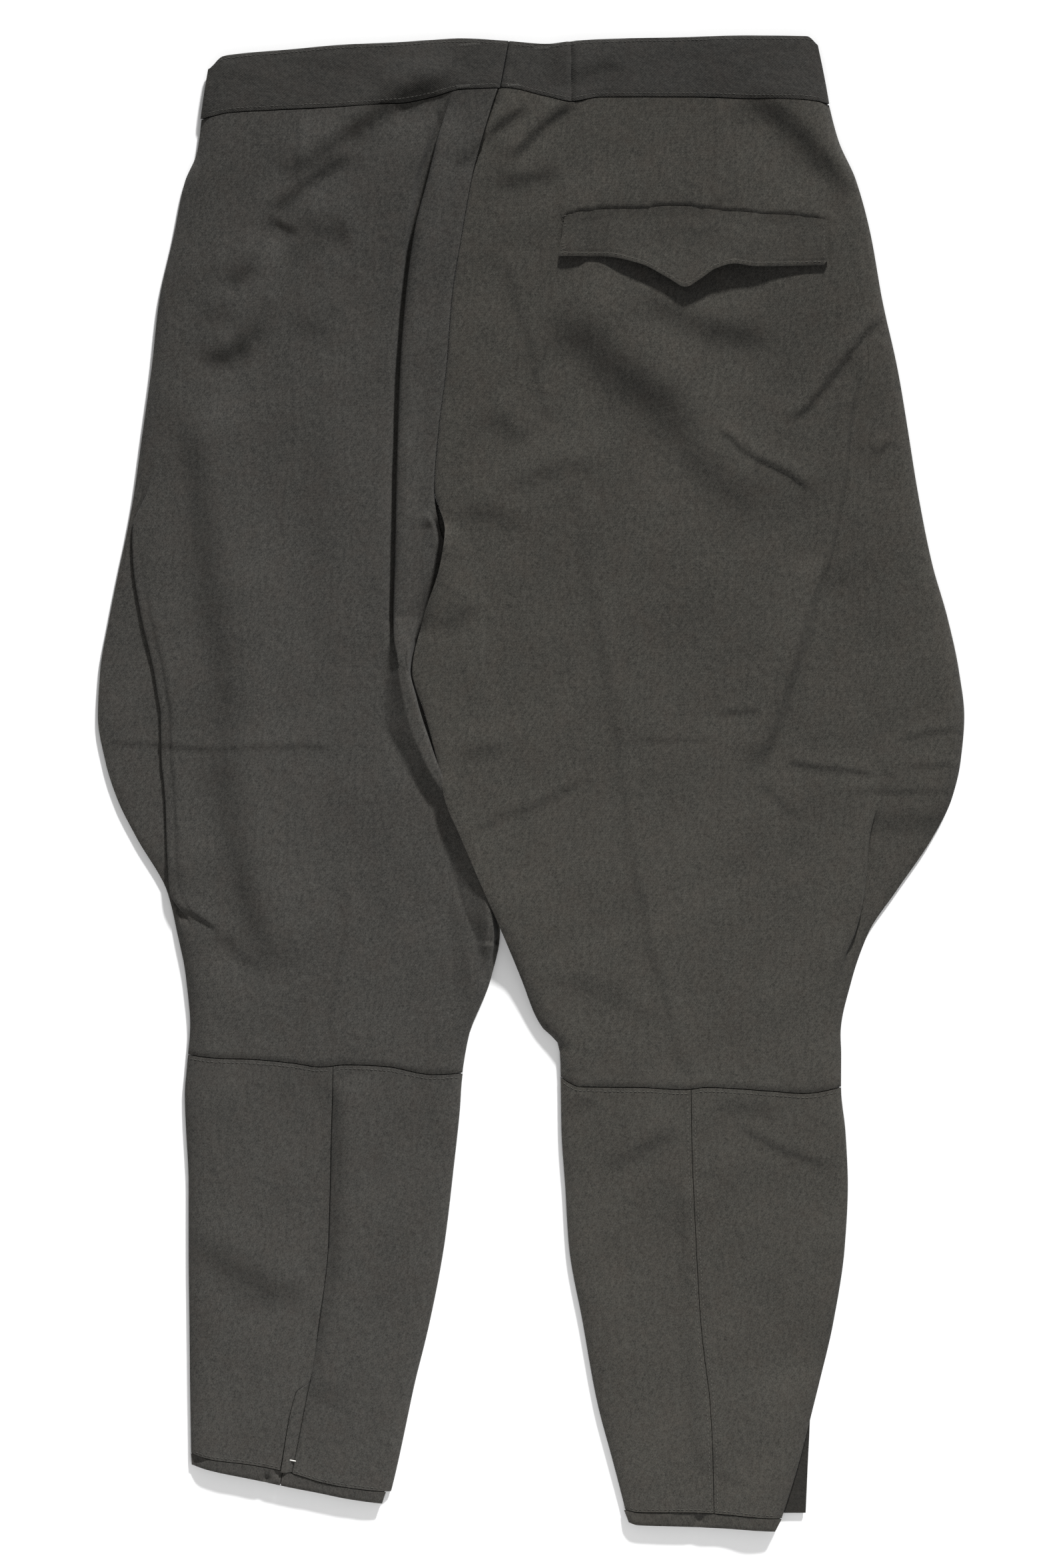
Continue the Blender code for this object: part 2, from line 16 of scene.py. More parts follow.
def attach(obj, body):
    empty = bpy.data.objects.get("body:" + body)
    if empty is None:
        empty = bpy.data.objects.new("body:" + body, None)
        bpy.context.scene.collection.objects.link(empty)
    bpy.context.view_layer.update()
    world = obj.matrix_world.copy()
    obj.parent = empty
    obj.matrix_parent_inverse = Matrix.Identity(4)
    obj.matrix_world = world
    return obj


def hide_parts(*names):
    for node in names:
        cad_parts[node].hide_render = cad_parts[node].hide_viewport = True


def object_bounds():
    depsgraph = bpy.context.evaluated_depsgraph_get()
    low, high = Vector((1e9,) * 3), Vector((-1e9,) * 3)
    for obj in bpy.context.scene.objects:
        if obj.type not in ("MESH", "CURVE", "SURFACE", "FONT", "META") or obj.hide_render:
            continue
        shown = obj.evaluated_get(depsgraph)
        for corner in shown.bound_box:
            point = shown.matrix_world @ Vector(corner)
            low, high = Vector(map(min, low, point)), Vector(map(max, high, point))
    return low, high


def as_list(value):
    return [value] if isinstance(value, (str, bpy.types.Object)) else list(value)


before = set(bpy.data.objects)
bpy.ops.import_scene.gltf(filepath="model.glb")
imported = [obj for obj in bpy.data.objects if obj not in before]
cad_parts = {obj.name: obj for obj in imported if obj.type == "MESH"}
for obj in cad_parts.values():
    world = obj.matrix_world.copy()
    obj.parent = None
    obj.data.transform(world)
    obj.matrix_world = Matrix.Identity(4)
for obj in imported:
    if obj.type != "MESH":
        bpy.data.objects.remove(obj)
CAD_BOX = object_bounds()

MM = 0.001
TOP = round(CAD_BOX[1].y / MM, 1)
print("solid model:", len(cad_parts), "nodes, waist edge at", TOP, "mm")

# %% [markdown]
# ## Lines of the garment
#
# A tailor draws a garment with a few lines: side edges, seams and fold lines. Here each line is a
# column of a short table, with a row for each height. Distances are in millimetres: "down" from
# the top of the waistband, "across" from the middle, plus to the right. They are the lines that
# the solid model was made from, so that the cloth lies on it; only beside the pleat and the vent
# are some of them a few millimetres off. A curve that never overshoots its rows joins them, so a
# few rows are enough.

# %% Tables and the curve through their rows
def table(names, *rows):
    """A dictionary of columns by name, from rows written out below one another."""
    return {name: np.array(column, float) for name, column in zip(names.split(), zip(*rows))}


def smooth(columns, name, where):
    """The value of a column between its rows, on a curve that never overshoots a row."""
    x, y = columns["down" if "down" in columns else "across"], columns[name]
    where = np.clip(where, x[0], x[-1])
    step = np.diff(x)
    slope = np.diff(y) / step
    product, total = slope[1:] * slope[:-1], slope[1:] + slope[:-1]
    inner = np.where(product > 0, 2 * product / np.where(product > 0, total, 1), 0)
    tangent = np.concatenate([[slope[0]], inner, [slope[-1]]])
    i = np.clip(np.searchsorted(x, where) - 1, 0, len(step) - 1)
    t = (where - x[i]) / step[i]
    return (
        (1 + 2 * t) * (1 - t) ** 2 * y[i]
        + t * (1 - t) ** 2 * step[i] * tangent[i]
        + t * t * (3 - 2 * t) * y[i + 1]
        - t * t * (1 - t) * step[i] * tangent[i + 1]
    )


LEGS = {
    "left": table(
        "down outer inner",
        (45, -218, -22), (70, -221, -31), (95, -229, -39), (130, -236, -45.5),
        (175, -246, -52.5), (220, -251, -56), (260, -256.5, -61), (300, -262, -64),
        (327, -267, -60), (350, -272, -50), (385, -279, -42), (420, -285, -36),
        (450, -286.5, -31), (480, -281.5, -28), (505, -273.5, -26), (530, -261, -24),
        (566, -240.5, -21.5), (592, -234, -20.5), (625, -228, -27), (660, -225.5, -41.5),
        (688, -227.5, -46), (705, -229, -47), (760, -226.5, -52.5), (800, -226.5, -57.5),
        (850, -226, -67), (900, -225.5, -79.5), (940, -225, -90), (971, -224.5, -98),
    ),
    "right": table(
        "down outer inner",
        (45, 197, -22), (70, 203.5, -31), (95, 214.5, -39), (130, 224, -45.5),
        (175, 232, -52.5), (220, 242, -56), (260, 249, -61), (300, 255.5, -64),
        (327, 260.5, -57), (350, 265.5, -60), (385, 275.5, -71), (420, 283, -78.5),
        (450, 286.5, -70), (480, 284, -62), (505, 278, -57), (530, 265.5, -46.5),
        (566, 241, -31), (592, 223.5, -19.5), (625, 211.5, -6), (660, 204.5, 7.5),
        (673, 205, 18.5), (694, 205, 19.5), (725, 208, 20), (760, 209.5, 22.5),
        (800, 207.5, 25), (850, 200, 34), (900, 188, 43), (940, 177.5, 53), (988, 162, 65),
    ),
}
print("leg edges:", {side: len(leg["down"]) for side, leg in LEGS.items()}, "rows")

# %% [markdown]
# The thighs are very wide, so laid flat they fold over at the sides: the leg rolls over a "wing"
# of its own cloth. Beside the centre seam a long pleat stands up. These fold lines, and how fully
# each one is laid over at each height, come next, then the seams of the calves. Below the pleat
# the left leg climbs to a crest beside the right leg, and that slope has a table of its own.

# %% Fold lines and seam lines
LEFT_LINES = table(
    "down lip pleat valley",
    (45, -190, -54, -38), (95, -202, -67, -53), (130, -210, -76, -61), (175, -222, -82, -67),
    (220, -232, -85.5, -70), (260, -240, -87, -74), (300, -254, -88, -75),
    (327, -263, -88.5, -66), (350, -262, -89, -63.5), (385, -256.5, -90, -74.5),
    (420, -248.5, -88, -80), (435, -246, -85, -76.5), (448, -244, -81.5, -73.2),
    (465, -243.7, -76, -67.4), (480, -243.5, -70, -62), (493, -242, -64.5, -56),
    (505, -241, -60, -51), (530, -240, -52, -41), (566, -238, -44, -28), (592, -222, -40, -24),
    (625, -205, -52, -34), (660, -198, -66, -50), (694, -195, -70, -54),
)
RIGHT_LINES = table(
    "down crease lip",
    (45, 150, 176), (95, 180, 198), (130, 195, 210), (175, 210, 222), (220, 218, 231),
    (260, 211, 231), (300, 207, 232), (350, 196.5, 232), (385, 185, 232), (420, 173, 232),
    (450, 164, 232), (480, 155, 232), (505, 150, 231), (530, 148, 223), (566, 146, 219),
    (592, 144, 214), (615, 143, 206), (660, 140, 190), (694, 138, 186),
)
FOLDING = table(
    "down left_lip pleat crease right_lip",
    (45, 0, 0.1, 0, 0), (60, 0, 0.7, 0, 0), (76, 0, 1, 0, 0), (195, 0, 1, 0.1, 0),
    (230, 0, 1, 0.6, 0), (290, 0.1, 1, 0.6, 0), (322, 0.8, 1, 0.6, 0), (350, 1, 1, 0.5, 0),
    (398, 1, 1, 0.2, 0), (412, 1, 0.6, 0.15, 0), (426, 1, 0, 0.1, 0), (480, 1, 0, 0, 0),
    (510, 1, 0, 0, 0.2), (530, 1, 0, 0, 0.9), (562, 1, 0, 0, 1), (575, 0.6, 0, 0, 1),
    (592, 0, 0, 0, 0.8), (612, 0, 0, 0, 0.2), (640, 0, 0, 0, 0),
)
CALF_LINES = table(
    "down left_seam left_vent right_seam",
    (675, -130.5, -130.5, 105.5), (725, -132, -132, 106), (800, -134, -134, 109),
    (850, -140, -140, 112), (889, -146, -146, 116.5), (896, -147.5, -155, 117.5),
    (940, -156, -164, 120), (990, -165.5, -171, 121),
)
WAIST = table(
    "across top seam",
    (-219, 20, 55.5), (-210, 16, 54), (-200, 13, 52), (-157, 9, 49.5), (-122, 6, 48),
    (-87, 4.5, 45.5), (-65, 3, 41), (-47, 2, 36.5), (-17, 3.5, 35.5), (10, 5.5, 41),
    (26, 4, 44.5), (45, 2.5, 41.5), (107, 1, 41.5), (142, 0, 42.5), (183, 0.5, 44),
    (197, 5, 45.5),
)
SEAMS = {
    "left": table(
        "across knee hem edge",
        (-230, 673, 935.5, 943), (-210, 675.5, 941, 948.5), (-183, 676.5, 944.5, 954),
        (-157, 679, 950, 959.5), (-139, 681.5, 955.5, 963), (-122, 680, 959, 966.5),
        (-97, 681, 962, 970), (-65, 686.5, 965, 973), (-40, 685.5, 967, 975),
    ),
    "right": table(
        "across knee hem edge",
        (15, 684, 972, 980), (23.5, 691, 972.5, 981), (32, 694.5, 973, 981.5),
        (62, 695, 974.5, 982), (70, 695, 975.5, 984), (102, 696.5, 975.5, 985),
        (115, 695, 976, 985.5), (160, 697.5, 979.5, 988), (180, 699, 980.5, 989),
        (210, 694, 982, 989),
    ),
}
FLAP = table(
    "across top edge",
    (19, 123.5, 147), (26, 118.5, 147), (45, 116, 147), (72, 115, 152.5), (90, 113.5, 162),
    (101.5, 113.5, 168), (110, 114.5, 163.5), (122, 116, 155.5), (134, 117, 152.5),
    (147, 118, 154), (178, 120, 153), (195.5, 122.5, 152.5),
)
SLOPE = table(
    "down start crest climb",
    (385, -91.5, -90, 0), (398, -93.5, -90, 3.4), (408, -94.5, -89.5, 5.2),
    (420, -95.5, -87.5, 6.2), (440, -96.5, -83.5, 6.4), (455, -96, -80, 6.2),
    (475, -86.5, -72, 6.0), (490, -78.5, -64.5, 6.0), (500, -70.5, -58, 5.4),
    (510, -65.5, -53.5, 5.2), (520, -62, -49.5, 5.2), (540, -55, -41.5, 5.2),
    (560, -49.5, -33, 5.2), (580, -43, -29, 4.8), (592, -38, -28.5, 3.4),
    (602, -35, -29, 1.6), (618, -33, -29, 0),
)
FOLD_SECTION = table(
    "smooth folded climb",
    (-9, 0, 0), (-5, 5, 0), (-2, 7.5, 0.18), (0, 5, 0.37), (2, 1, 0.52), (4, -0.5, 0.75),
    (6.5, 1.5, 0.95), (10, 6, 1),
)
print("fold lines at", len(FOLDING["down"]), "heights")

# %% [markdown]
# ## How high the cloth lies
#
# Two layers of cloth don't lie dead flat: the upper one is pinned down at the side seams and
# rises a few millimetres away from them. An exponential curve from each edge gives that soft
# roll. PUFF is how far the thighs rise, CALF_PUFF the calves and WING_PUFF the wings, and ROLL is
# how wide the roll is. All are in millimetres, like the thickness of the cloth.

# %% Heights of the back cloth
WALL, BAND_WALL, FLAP_WALL = 1.2, 2.0, 1.2    # of the legs, the waistband and the flap
SEAM = 0.3    # the gap between sewn pieces
BACK_REST = WALL + SEAM + WALL / 2
PUFF, CALF_PUFF, WING_PUFF, ROLL = 6.4, 4.6, 1.6, 5.0
WAIST_START, CROTCH = 45.0, 327.0
KNEE = {"left": 681.0, "right": 694.0}
HEM = {"left": 950.0, "right": 977.0}
SIGN = {"left": -1, "right": 1}
FAR_INSIDE = 60.0    # so far from an edge that the cloth doesn't feel it
VALLEY_END = 600.0    # down to here the left leg goes under the right one
PLACKET_LIFT = 1.9    # the right hem lies over its strip


def ease(value, start, end):
    """0 before start, 1 after end, and a soft curve between them."""
    t = np.clip((value - start) / (end - start), 0, 1)
    return t * t * (3 - 2 * t)


def blend(a, b, share):
    """A value between two others."""
    return a + (b - a) * share


def rise(inside):
    """0 at an edge, and 1 well inside it."""
    return 1 - np.exp(-np.maximum(inside, 0) / ROLL)


def from_edges(side, across, down):
    """How far a place lies inside the outer and the inner edge of its leg."""
    outer = SIGN[side] * (smooth(LEGS[side], "outer", down) - across)
    return outer, SIGN[side] * (across - smooth(LEGS[side], "inner", down))


def pinned(side, across, down, slow=0):
    """The same, but above the crotch the cloth runs on over the centre seam, as if without edge."""
    outer, inner = from_edges(side, across, down)
    if side == "left":
        tucked = smooth(LEFT_LINES, "valley", down) + 1 - across
        inner = np.where(down < VALLEY_END, tucked, inner)
    together = CROTCH if side == "left" else CROTCH + 30
    return outer, inner + FAR_INSIDE * (1 - ease(down, together - 28, together + slow))


def back_height(side, across, down):
    """Height of the middle of the back cloth over the surface, from its distance to each edge."""
    outer, inner = pinned(side, across, down, 0 if side == "left" else 40)
    puff = blend(PUFF, CALF_PUFF, ease(down, 600, 760))
    height = BACK_REST + puff * rise(outer) * rise(inner)
    if side == "right":
        height = height + PLACKET_LIFT * ease(down, 876, 900) * (1 - ease(outer, 14, 40))
    return height


def stack_lift(across, down):
    """How far the right leg is raised where it lies over the inner edge of the left leg."""
    over = smooth(LEGS["left"], "inner", down) - across
    near = ease(over, -18, -1) * ease(down, CROTCH - 6, CROTCH + 4) * (1 - ease(down, 596, 640))
    return (2 * (WALL + SEAM) + 0.4) * near


print("back cloth lies", round(float(back_height("right", 100.0, 250.0)), 1), "mm up at the hip")

# %% [markdown]
# ## Folds seen end on
#
# Where cloth folds over itself, a height map is not enough: there are three layers at one place.
# So a panel is drawn as sections, each a line of points that may run back under itself. The
# table of the fold gives eight points of an S. Here they become a smooth S of many points, which
# each section then stretches between "smooth" and "fully folded".

# %% One fold, from the low cloth to the high cloth
FOLD_POINTS, FOLD_ROOM = 30, 11.0    # room to each side that a whole fold needs
ROWS_OF_FOLD = len(FOLD_SECTION["climb"])
STEPS = np.linspace(0, ROWS_OF_FOLD - 1, FOLD_POINTS)


def through(values):
    """A rounded curve through the eight points, sampled evenly."""
    v = np.concatenate([[2 * values[0] - values[1]], values, [2 * values[-1] - values[-2]]])
    i = np.minimum(STEPS.astype(int), ROWS_OF_FOLD - 2)
    t = STEPS - i
    a, b, c, d = v[i], v[i + 1], v[i + 2], v[i + 3]
    return b + 0.5 * t * (c - a + t * (2 * a - 5 * b + 4 * c - d + t * (3 * (b - c) + d - a)))


SMOOTH_AT, FOLDED_AT, CLIMB = (through(FOLD_SECTION[n]) for n in ("smooth", "folded", "climb"))


def fold(lip, weight, low_side, room_low, room_high, low, high, lie):
    """The points of one fold, from left to right. low_side is -1 if the low cloth is on the left."""
    reach = np.where(SMOOTH_AT < 0, min(1, room_low / FOLD_ROOM), min(1, room_high / FOLD_ROOM))
    flat_x = lip - low_side * SMOOTH_AT * reach
    fold_x = lip - low_side * FOLDED_AT * min(1, room_high / FOLD_ROOM)
    x = blend(flat_x, fold_x, weight)
    z = blend(lie(flat_x), blend(low(x), high(x), CLIMB), weight)
    return (x, z) if low_side < 0 else (x[::-1], z[::-1])


print("a fold has", FOLD_POINTS, "points and climbs", round(float(CLIMB.max()), 2), "of its height")

# %% [markdown]
# ## Sections of the thighs
#
# Each thigh is one wide piece of cloth. Its section starts at the outer edge, runs over the wing,
# through the fold, across the body, through the pleat and down to the inner edge. The counts of
# points are the same in every section, so that the sections join into a grid. A light smoothing
# along each section rounds what a tailor's hand would round. The heights are small functions of
# the place across: "lie" is the plain cloth, "dip" the groove beside a fold and "crown" its top.

# %% Sections
def stretch(start, end, count, height, last=False):
    """Evenly spaced points from one place to another, with their heights."""
    x = np.linspace(start, end, count, endpoint=last)
    return x, height(x)


def join(parts):
    """One section from its stretches, with its corners rounded off."""
    x, z = (np.concatenate(values) for values in zip(*parts))
    for _ in range(2):
        for v in (x, z):
            v[1:-1] = v[1:-1] / 2 + (v[:-2] + v[2:]) / 4
    return x, z


SEAM_HALF = SEAM / 2
PLEAT_HEIGHT, PLEAT_SINK = 2.4, 0.6    # how far its top stands up, and the cloth beside it sinks


def left_slope(station, valley):
    """Below the pleat: how the left leg dips, climbs to its crest and falls under the right leg."""
    start, crest, climb = (smooth(SLOPE, n, station) for n in ("start", "crest", "climb"))
    flat = ease(station, 392, 416) * ease(climb, 0, 2.5)
    sunk = (2.0 - 0.8 * ease(station, 480, 520)) * ease(station, 404, 436) * ease(climb, 0, 4)

    def sloped(x):
        climbing = (climb + sunk) * np.clip((x - start) / (crest - start), 0, 1)
        level = flat * PUFF * (1 - rise(valley + 1 - x)) * ease(x, start, crest)
        dipping = sunk * np.exp(-np.maximum(start - x, 0) / 14)
        return (1 - ease(x, valley - 1.5, valley + 1.5)) * (climbing + level - dipping)
    return flat, sloped


def left_back_section(station):
    """The left thigh at one height: wing, fold, body, groove, pleat, slope and hidden edge."""
    outer = smooth(LEGS["left"], "outer", station)
    inner = smooth(LEGS["left"], "inner", station) - SEAM_HALF
    lip, pleat, valley = (smooth(LEFT_LINES, n, station) for n in ("lip", "pleat", "valley"))
    lap, tuck = smooth(FOLDING, "left_lip", station), smooth(FOLDING, "pleat", station)
    flat, sloped = left_slope(station, valley)
    wing = lambda x: BACK_REST + WING_PUFF * rise(x - outer)
    over_wing = lambda x: BACK_REST + PUFF * 0.75
    lie = lambda x: back_height("left", x, station) + sloped(x)
    side = lambda x: blend(lie(x), wing(x), lap)

    # The groove left of the pleat is widest near the waist, where the pleat stands highest.
    shelf = 3.4 + 9.0 * ease(station, 395, 450) * (1 - ease(station, 500, 560))
    shelf = shelf + 3.6 * np.exp(-(((station - 95) / 17) ** 2))
    high = ease(station, 50, 80) * (1 - ease(station, 130, 190))
    gorge = (5.4 + 1.2 * high) * tuck * (1 - ease(station, 378, 410))
    dip = lambda x: (
        lie(x) - gorge * (1 - ease(pleat - x, shelf, shelf + 3.5)) - PLEAT_SINK * tuck)
    lifted = 2.0 * high
    crown = lambda x: lie(x) + PLEAT_HEIGHT * tuck + lifted
    first = fold(lip, lap, -1, (lip - outer) * 0.8, 30, wing, over_wing, lie)
    second = fold(pleat, tuck, -1, 30, valley - pleat, dip, crown, lie)
    top = second[0][-1]

    # Below the crotch the cloth stays up for a while before it goes under the right leg.
    under = ease(station, 312, 328) * (1 - ease(station, 588, 606)) * (1 - flat)
    under = under * (5.8 - 3.6 * ease(station, 322, 345) * (1 - ease(station, 396, 416)))
    above = tuck * (PLEAT_HEIGHT * tuck + lifted)

    def slope(x):
        held = under * np.exp(-np.maximum(x - valley - 1.5, 0) / 2.5) * (1 - rise(valley + 1 - x))
        return lie(x) + held + above * np.exp(-(x - top) / 9) * rise(valley - x + 2)
    return join([
        stretch(outer, first[0][0], 22, side), first,
        stretch(first[0][-1], second[0][0], 112, dip), second,
        stretch(top, valley, 12, slope),
        stretch(valley, inner, 12, slope, last=True),
    ])


def right_back_section(station):
    """The right thigh at one height: inner edge, body, crease, fold and wing."""
    outer = smooth(LEGS["right"], "outer", station)
    inner = smooth(LEGS["right"], "inner", station) + SEAM_HALF
    crease, lip = (smooth(RIGHT_LINES, n, station) for n in ("crease", "lip"))
    tuck, lap = smooth(FOLDING, "crease", station), smooth(FOLDING, "right_lip", station)
    lie = lambda x: back_height("right", x, station) + stack_lift(x, station)
    wing = lambda x: BACK_REST + WING_PUFF * rise(outer - x)
    over_wing = lambda x: BACK_REST + PUFF + 0.6
    dip = lambda x: lie(x) - 2.4 * tuck * np.where(
        x < crease - 8, np.exp(-abs(crease - 9 - x) / 26), 1)
    crown = lambda x: lie(x) + 1.8 * tuck * np.exp(-np.maximum(x - crease - 6, 0) / 16)
    side = lambda x: blend(lie(x), wing(x), lap)
    first = fold(crease, tuck, -1, 30, (lip - crease) * 0.5, dip, crown, lie)
    room = (lip - first[0][-1]) * 0.8
    second = fold(lip, lap, 1, (outer - lip) * 0.8, room, wing, over_wing, lie)
    return join([
        stretch(inner, inner + 12, 12, lie),
        stretch(inner + 12, first[0][0], 146, dip), first,
        stretch(first[0][-1], second[0][0], 22, crown), second,
        stretch(second[0][-1], outer, 24, side, last=True),
    ])


print("left section:", len(left_back_section(400.0)[0]), "points,",
      "right section:", len(right_back_section(400.0)[0]), "points")

# %% [markdown]
# ## Creases of the cloth
#
# The solid model has the large folds. What makes cloth look like cloth are the smaller ones:
# drag lines from the seams, sharp creases from storage, long soft rolls. Seen from above, each
# is a dark band where the cloth steps down, away from the lamp. So a crease here is a line of
# places with the half width of that step and its drop in millimetres. To both sides the cloth
# comes back to its level slowly, and the crease fades out at its two ends. The lamps stand a
# little differently for the two legs, so each crease steps down on the side that its own lamp
# leaves dark. The same height is added to every layer at a place, so that no layer meets another.

# %% Creases, each a line of places across and down
CREASES = (
    # name, half width, drop, (across, down) ...
    ("band shade left", 6.0, 6.5, (-104, 46), (-92, 40), (-74, 34), (-56, 28), (-44, 25)),
    ("band shade right", 5.0, 4.0, (22, 34), (34, 26), (48, 20), (62, 18)),
    ("dart left", 1.0, 1.0, (-154, 47), (-154, 80), (-154, 108)),
    ("dart right", 1.0, 1.8, (123, 40), (122, 70), (119, 115)),
    ("waist drag left", 6.0, 7.6, (-50, 30), (-68, 36), (-86, 44), (-100, 51), (-113, 60),
     (-126, 69), (-138, 77), (-150, 87), (-164, 98)),
    ("waist drag left, lower", 4.6, 6.2, (-112, 74), (-124, 82), (-138, 91), (-150, 99),
     (-159, 107), (-167, 114), (-174, 126), (-179, 140), (-186, 154), (-198, 172)),
    ("left dent", 2.4, 2.6, (-173, 121), (-163, 127), (-152, 132)),
    ("left hollow", 9.0, 3.1, (-170, 113), (-144, 126), (-118, 140)),
    ("left arc", 4.8, 2.2, (-131, 112), (-122, 135), (-117, 150), (-121, 163), (-129, 177),
     (-136, 192), (-138, 210)),
    ("left arc, low", 4.6, 4.0, (-112, 138), (-117, 158), (-125, 173), (-134, 188), (-139, 206)),
    ("left hook", 6.5, 8.5, (-164, 130), (-168, 155), (-172, 174), (-180, 192), (-189, 204),
     (-201, 212), (-222, 219)),
    ("left side shade", 9.0, 4.0, (-190, 182), (-205, 186), (-222, 182)),
    ("left long roll", 11.0, 8.5, (-226, 235), (-221, 290), (-215, 340), (-207, 390),
     (-200, 440), (-203, 480), (-197, 520), (-190, 560), (-180, 595), (-172, 625)),
    ("left inner roll", 8.0, 1.3, (-140, 240), (-139, 300), (-141, 360), (-137, 420)),
    ("storage line left", 1.5, 0.9, (-283, 468), (-262, 468), (-246, 469), (-225, 471),
     (-210, 472), (-196, 471), (-176, 470), (-150, 470), (-128, 471)),
    ("notch crease", 1.3, 2.2, (-242, 571), (-228, 578), (-215, 585), (-205, 593)),
    ("notch crease, soft", 5.0, 2.8, (-211, 587), (-198, 601), (-188, 611), (-176, 620)),
    ("pressed edge left", 1.3, 1.1, (-121, 560), (-123, 590), (-127, 615), (-131, 640),
     (-134, 666)),
    ("knee roll left", 6.0, 3.1, (-52, 560), (-49, 590), (-46, 615), (-40, 640), (-38, 655)),
    ("knee tuck left", 1.2, 2.5, (-26, 575), (-27, 590), (-29, 600), (-31, 610)),
    ("centre drag one", 2.6, 3.4, (2, 45), (-14, 55), (-26, 64), (-34, 72), (-41, 81), (-51, 89)),
    ("centre drag two", 2.8, 4.2, (33, 44), (21, 50), (10, 58), (1, 67), (-7, 76), (-16, 87)),
    ("centre smudge", 5.0, 3.0, (-30, 97), (-12, 97), (10, 92), (24, 96)),
    ("ridge side line", 2.6, 2.0, (-20, 140), (-12, 170), (-1, 205), (8, 245), (12, 260)),
    ("right drag", 9.0, 9.5, (136, 34), (150, 44), (168, 57), (182, 70), (193, 82), (205, 92),
     (216, 101), (230, 113)),
    ("below flap left", 15.0, 13.5, (0, 182), (20, 190), (36, 201), (48, 213), (62, 227),
     (80, 239), (100, 248), (120, 254)),
    ("below flap right", 9.0, 6.0, (62, 168), (80, 178), (98, 187), (116, 194), (140, 199),
     (168, 200)),
    ("right inner shade", 13.0, 7.0, (66, 244), (95, 262), (112, 284), (130, 305), (152, 322)),
    ("hip crease", 1.9, 3.3, (242, 178), (234, 186), (222, 195), (212, 208), (203, 220),
     (193, 233), (183, 245), (170, 258)),
    ("hip branch", 3.2, 2.0, (222, 198), (218, 220), (214, 236), (211, 252)),
    ("long crease", 1.1, 2.4, (213, 236), (211, 250), (210, 262), (208, 290), (203, 315),
     (200, 335), (195, 360)),
    ("long crease shade", 7.0, 1.4, (205, 232), (203, 262), (200, 290), (194, 316)),
    ("long crease, soft", 4.4, 5.6, (196, 345), (190, 362), (180, 400), (170, 432), (162, 458),
     (156, 472), (150, 486)),
    ("low hip crease", 1.4, 2.0, (121, 257), (128, 264), (138, 273), (148, 280), (160, 285),
     (170, 290), (178, 296), (186, 303)),
    ("side nick", 1.3, 1.7, (226, 278), (232, 274), (240, 266)),
    ("right edge roll", 6.0, 2.0, (236, 262), (232, 330), (230, 380), (228, 440), (229, 505)),
    ("pressed edge right", 3.4, 2.4, (31, 300), (38, 360), (45, 400), (50, 430), (56, 462),
     (60, 500), (64, 530), (70, 560), (78, 598), (86, 625), (93, 655), (98, 690)),
    ("cross line one", 1.4, 1.3, (122, 447), (138, 447), (154, 446)),
    ("cross line two", 1.4, 1.5, (164, 479), (185, 483), (205, 485), (230, 489)),
    ("cross line three", 1.4, 1.1, (238, 467), (262, 461), (288, 458)),
    ("cross line four", 1.2, 1.0, (246, 483), (284, 482)),
    ("cross line five", 1.3, 0.8, (205, 500), (284, 499)),
    ("cross line six", 2.2, 1.5, (145, 495), (158, 499), (168, 510), (180, 520)),
    ("cross line seven", 2.8, 1.5, (-44, 530), (-20, 516), (0, 510), (20, 500), (42, 488)),
    ("cross line eight", 1.6, 0.7, (66, 466), (126, 465)),
    ("crotch smudge one", 5.0, 2.2, (-52, 474), (-36, 473), (-14, 470)),
    ("crotch smudge two", 6.0, 2.6, (-64, 396), (-48, 386), (-30, 374)),
    ("crotch smudge three", 6.0, 2.2, (-50, 313), (-20, 318), (-2, 330)),
    ("right arc", 6.0, 2.6, (-24, 304), (0, 293), (22, 284), (50, 285)),
    ("right short arc", 7.0, 3.0, (-32, 246), (-18, 258), (0, 271)),
    ("low patch right", 6.0, 1.7, (-4, 617), (25, 626), (50, 630), (66, 641), (92, 657)),
    ("edge tuck right", 1.2, 2.2, (19, 672), (22, 679), (25, 688)),
    ("calf seam roll left", 5.5, 5.4, (-128, 684), (-128, 730), (-129, 780), (-130, 820),
     (-136, 850), (-142, 880), (-148, 905)),
    ("calf drag left", 11.0, 5.6, (-246, 792), (-228, 800), (-208, 807), (-190, 818), (-172, 828),
     (-150, 833), (-134, 830)),
    ("calf seam roll right", 5.0, 3.2, (99, 750), (101, 800), (102, 850), (106, 900), (111, 955)),
    ("calf crease right", 2.4, 1.5, (134, 719), (155, 731), (170, 738), (185, 743), (201, 749)),
    ("calf arc one", 5.0, 2.4, (102, 720), (85, 728), (70, 737), (48, 752)),
    ("calf arc two", 5.0, 1.9, (112, 709), (130, 707), (150, 708), (168, 717)),
    ("calf arc three", 3.0, 1.3, (18, 714), (30, 706), (48, 703)),
    ("calf arc four", 3.2, 1.0, (106, 753), (122, 752), (135, 764)),
    ("calf nick", 2.2, 1.0, (119, 949), (130, 953), (142, 958)),
)
LAMP_SIDE = {"left": (0.36, -0.93), "right": (0.09, -1.0)}    # across and down, to the lamp
LEFT_OF_PLEAT = -45.0    # creases whose middle is left of this belong to the left leg


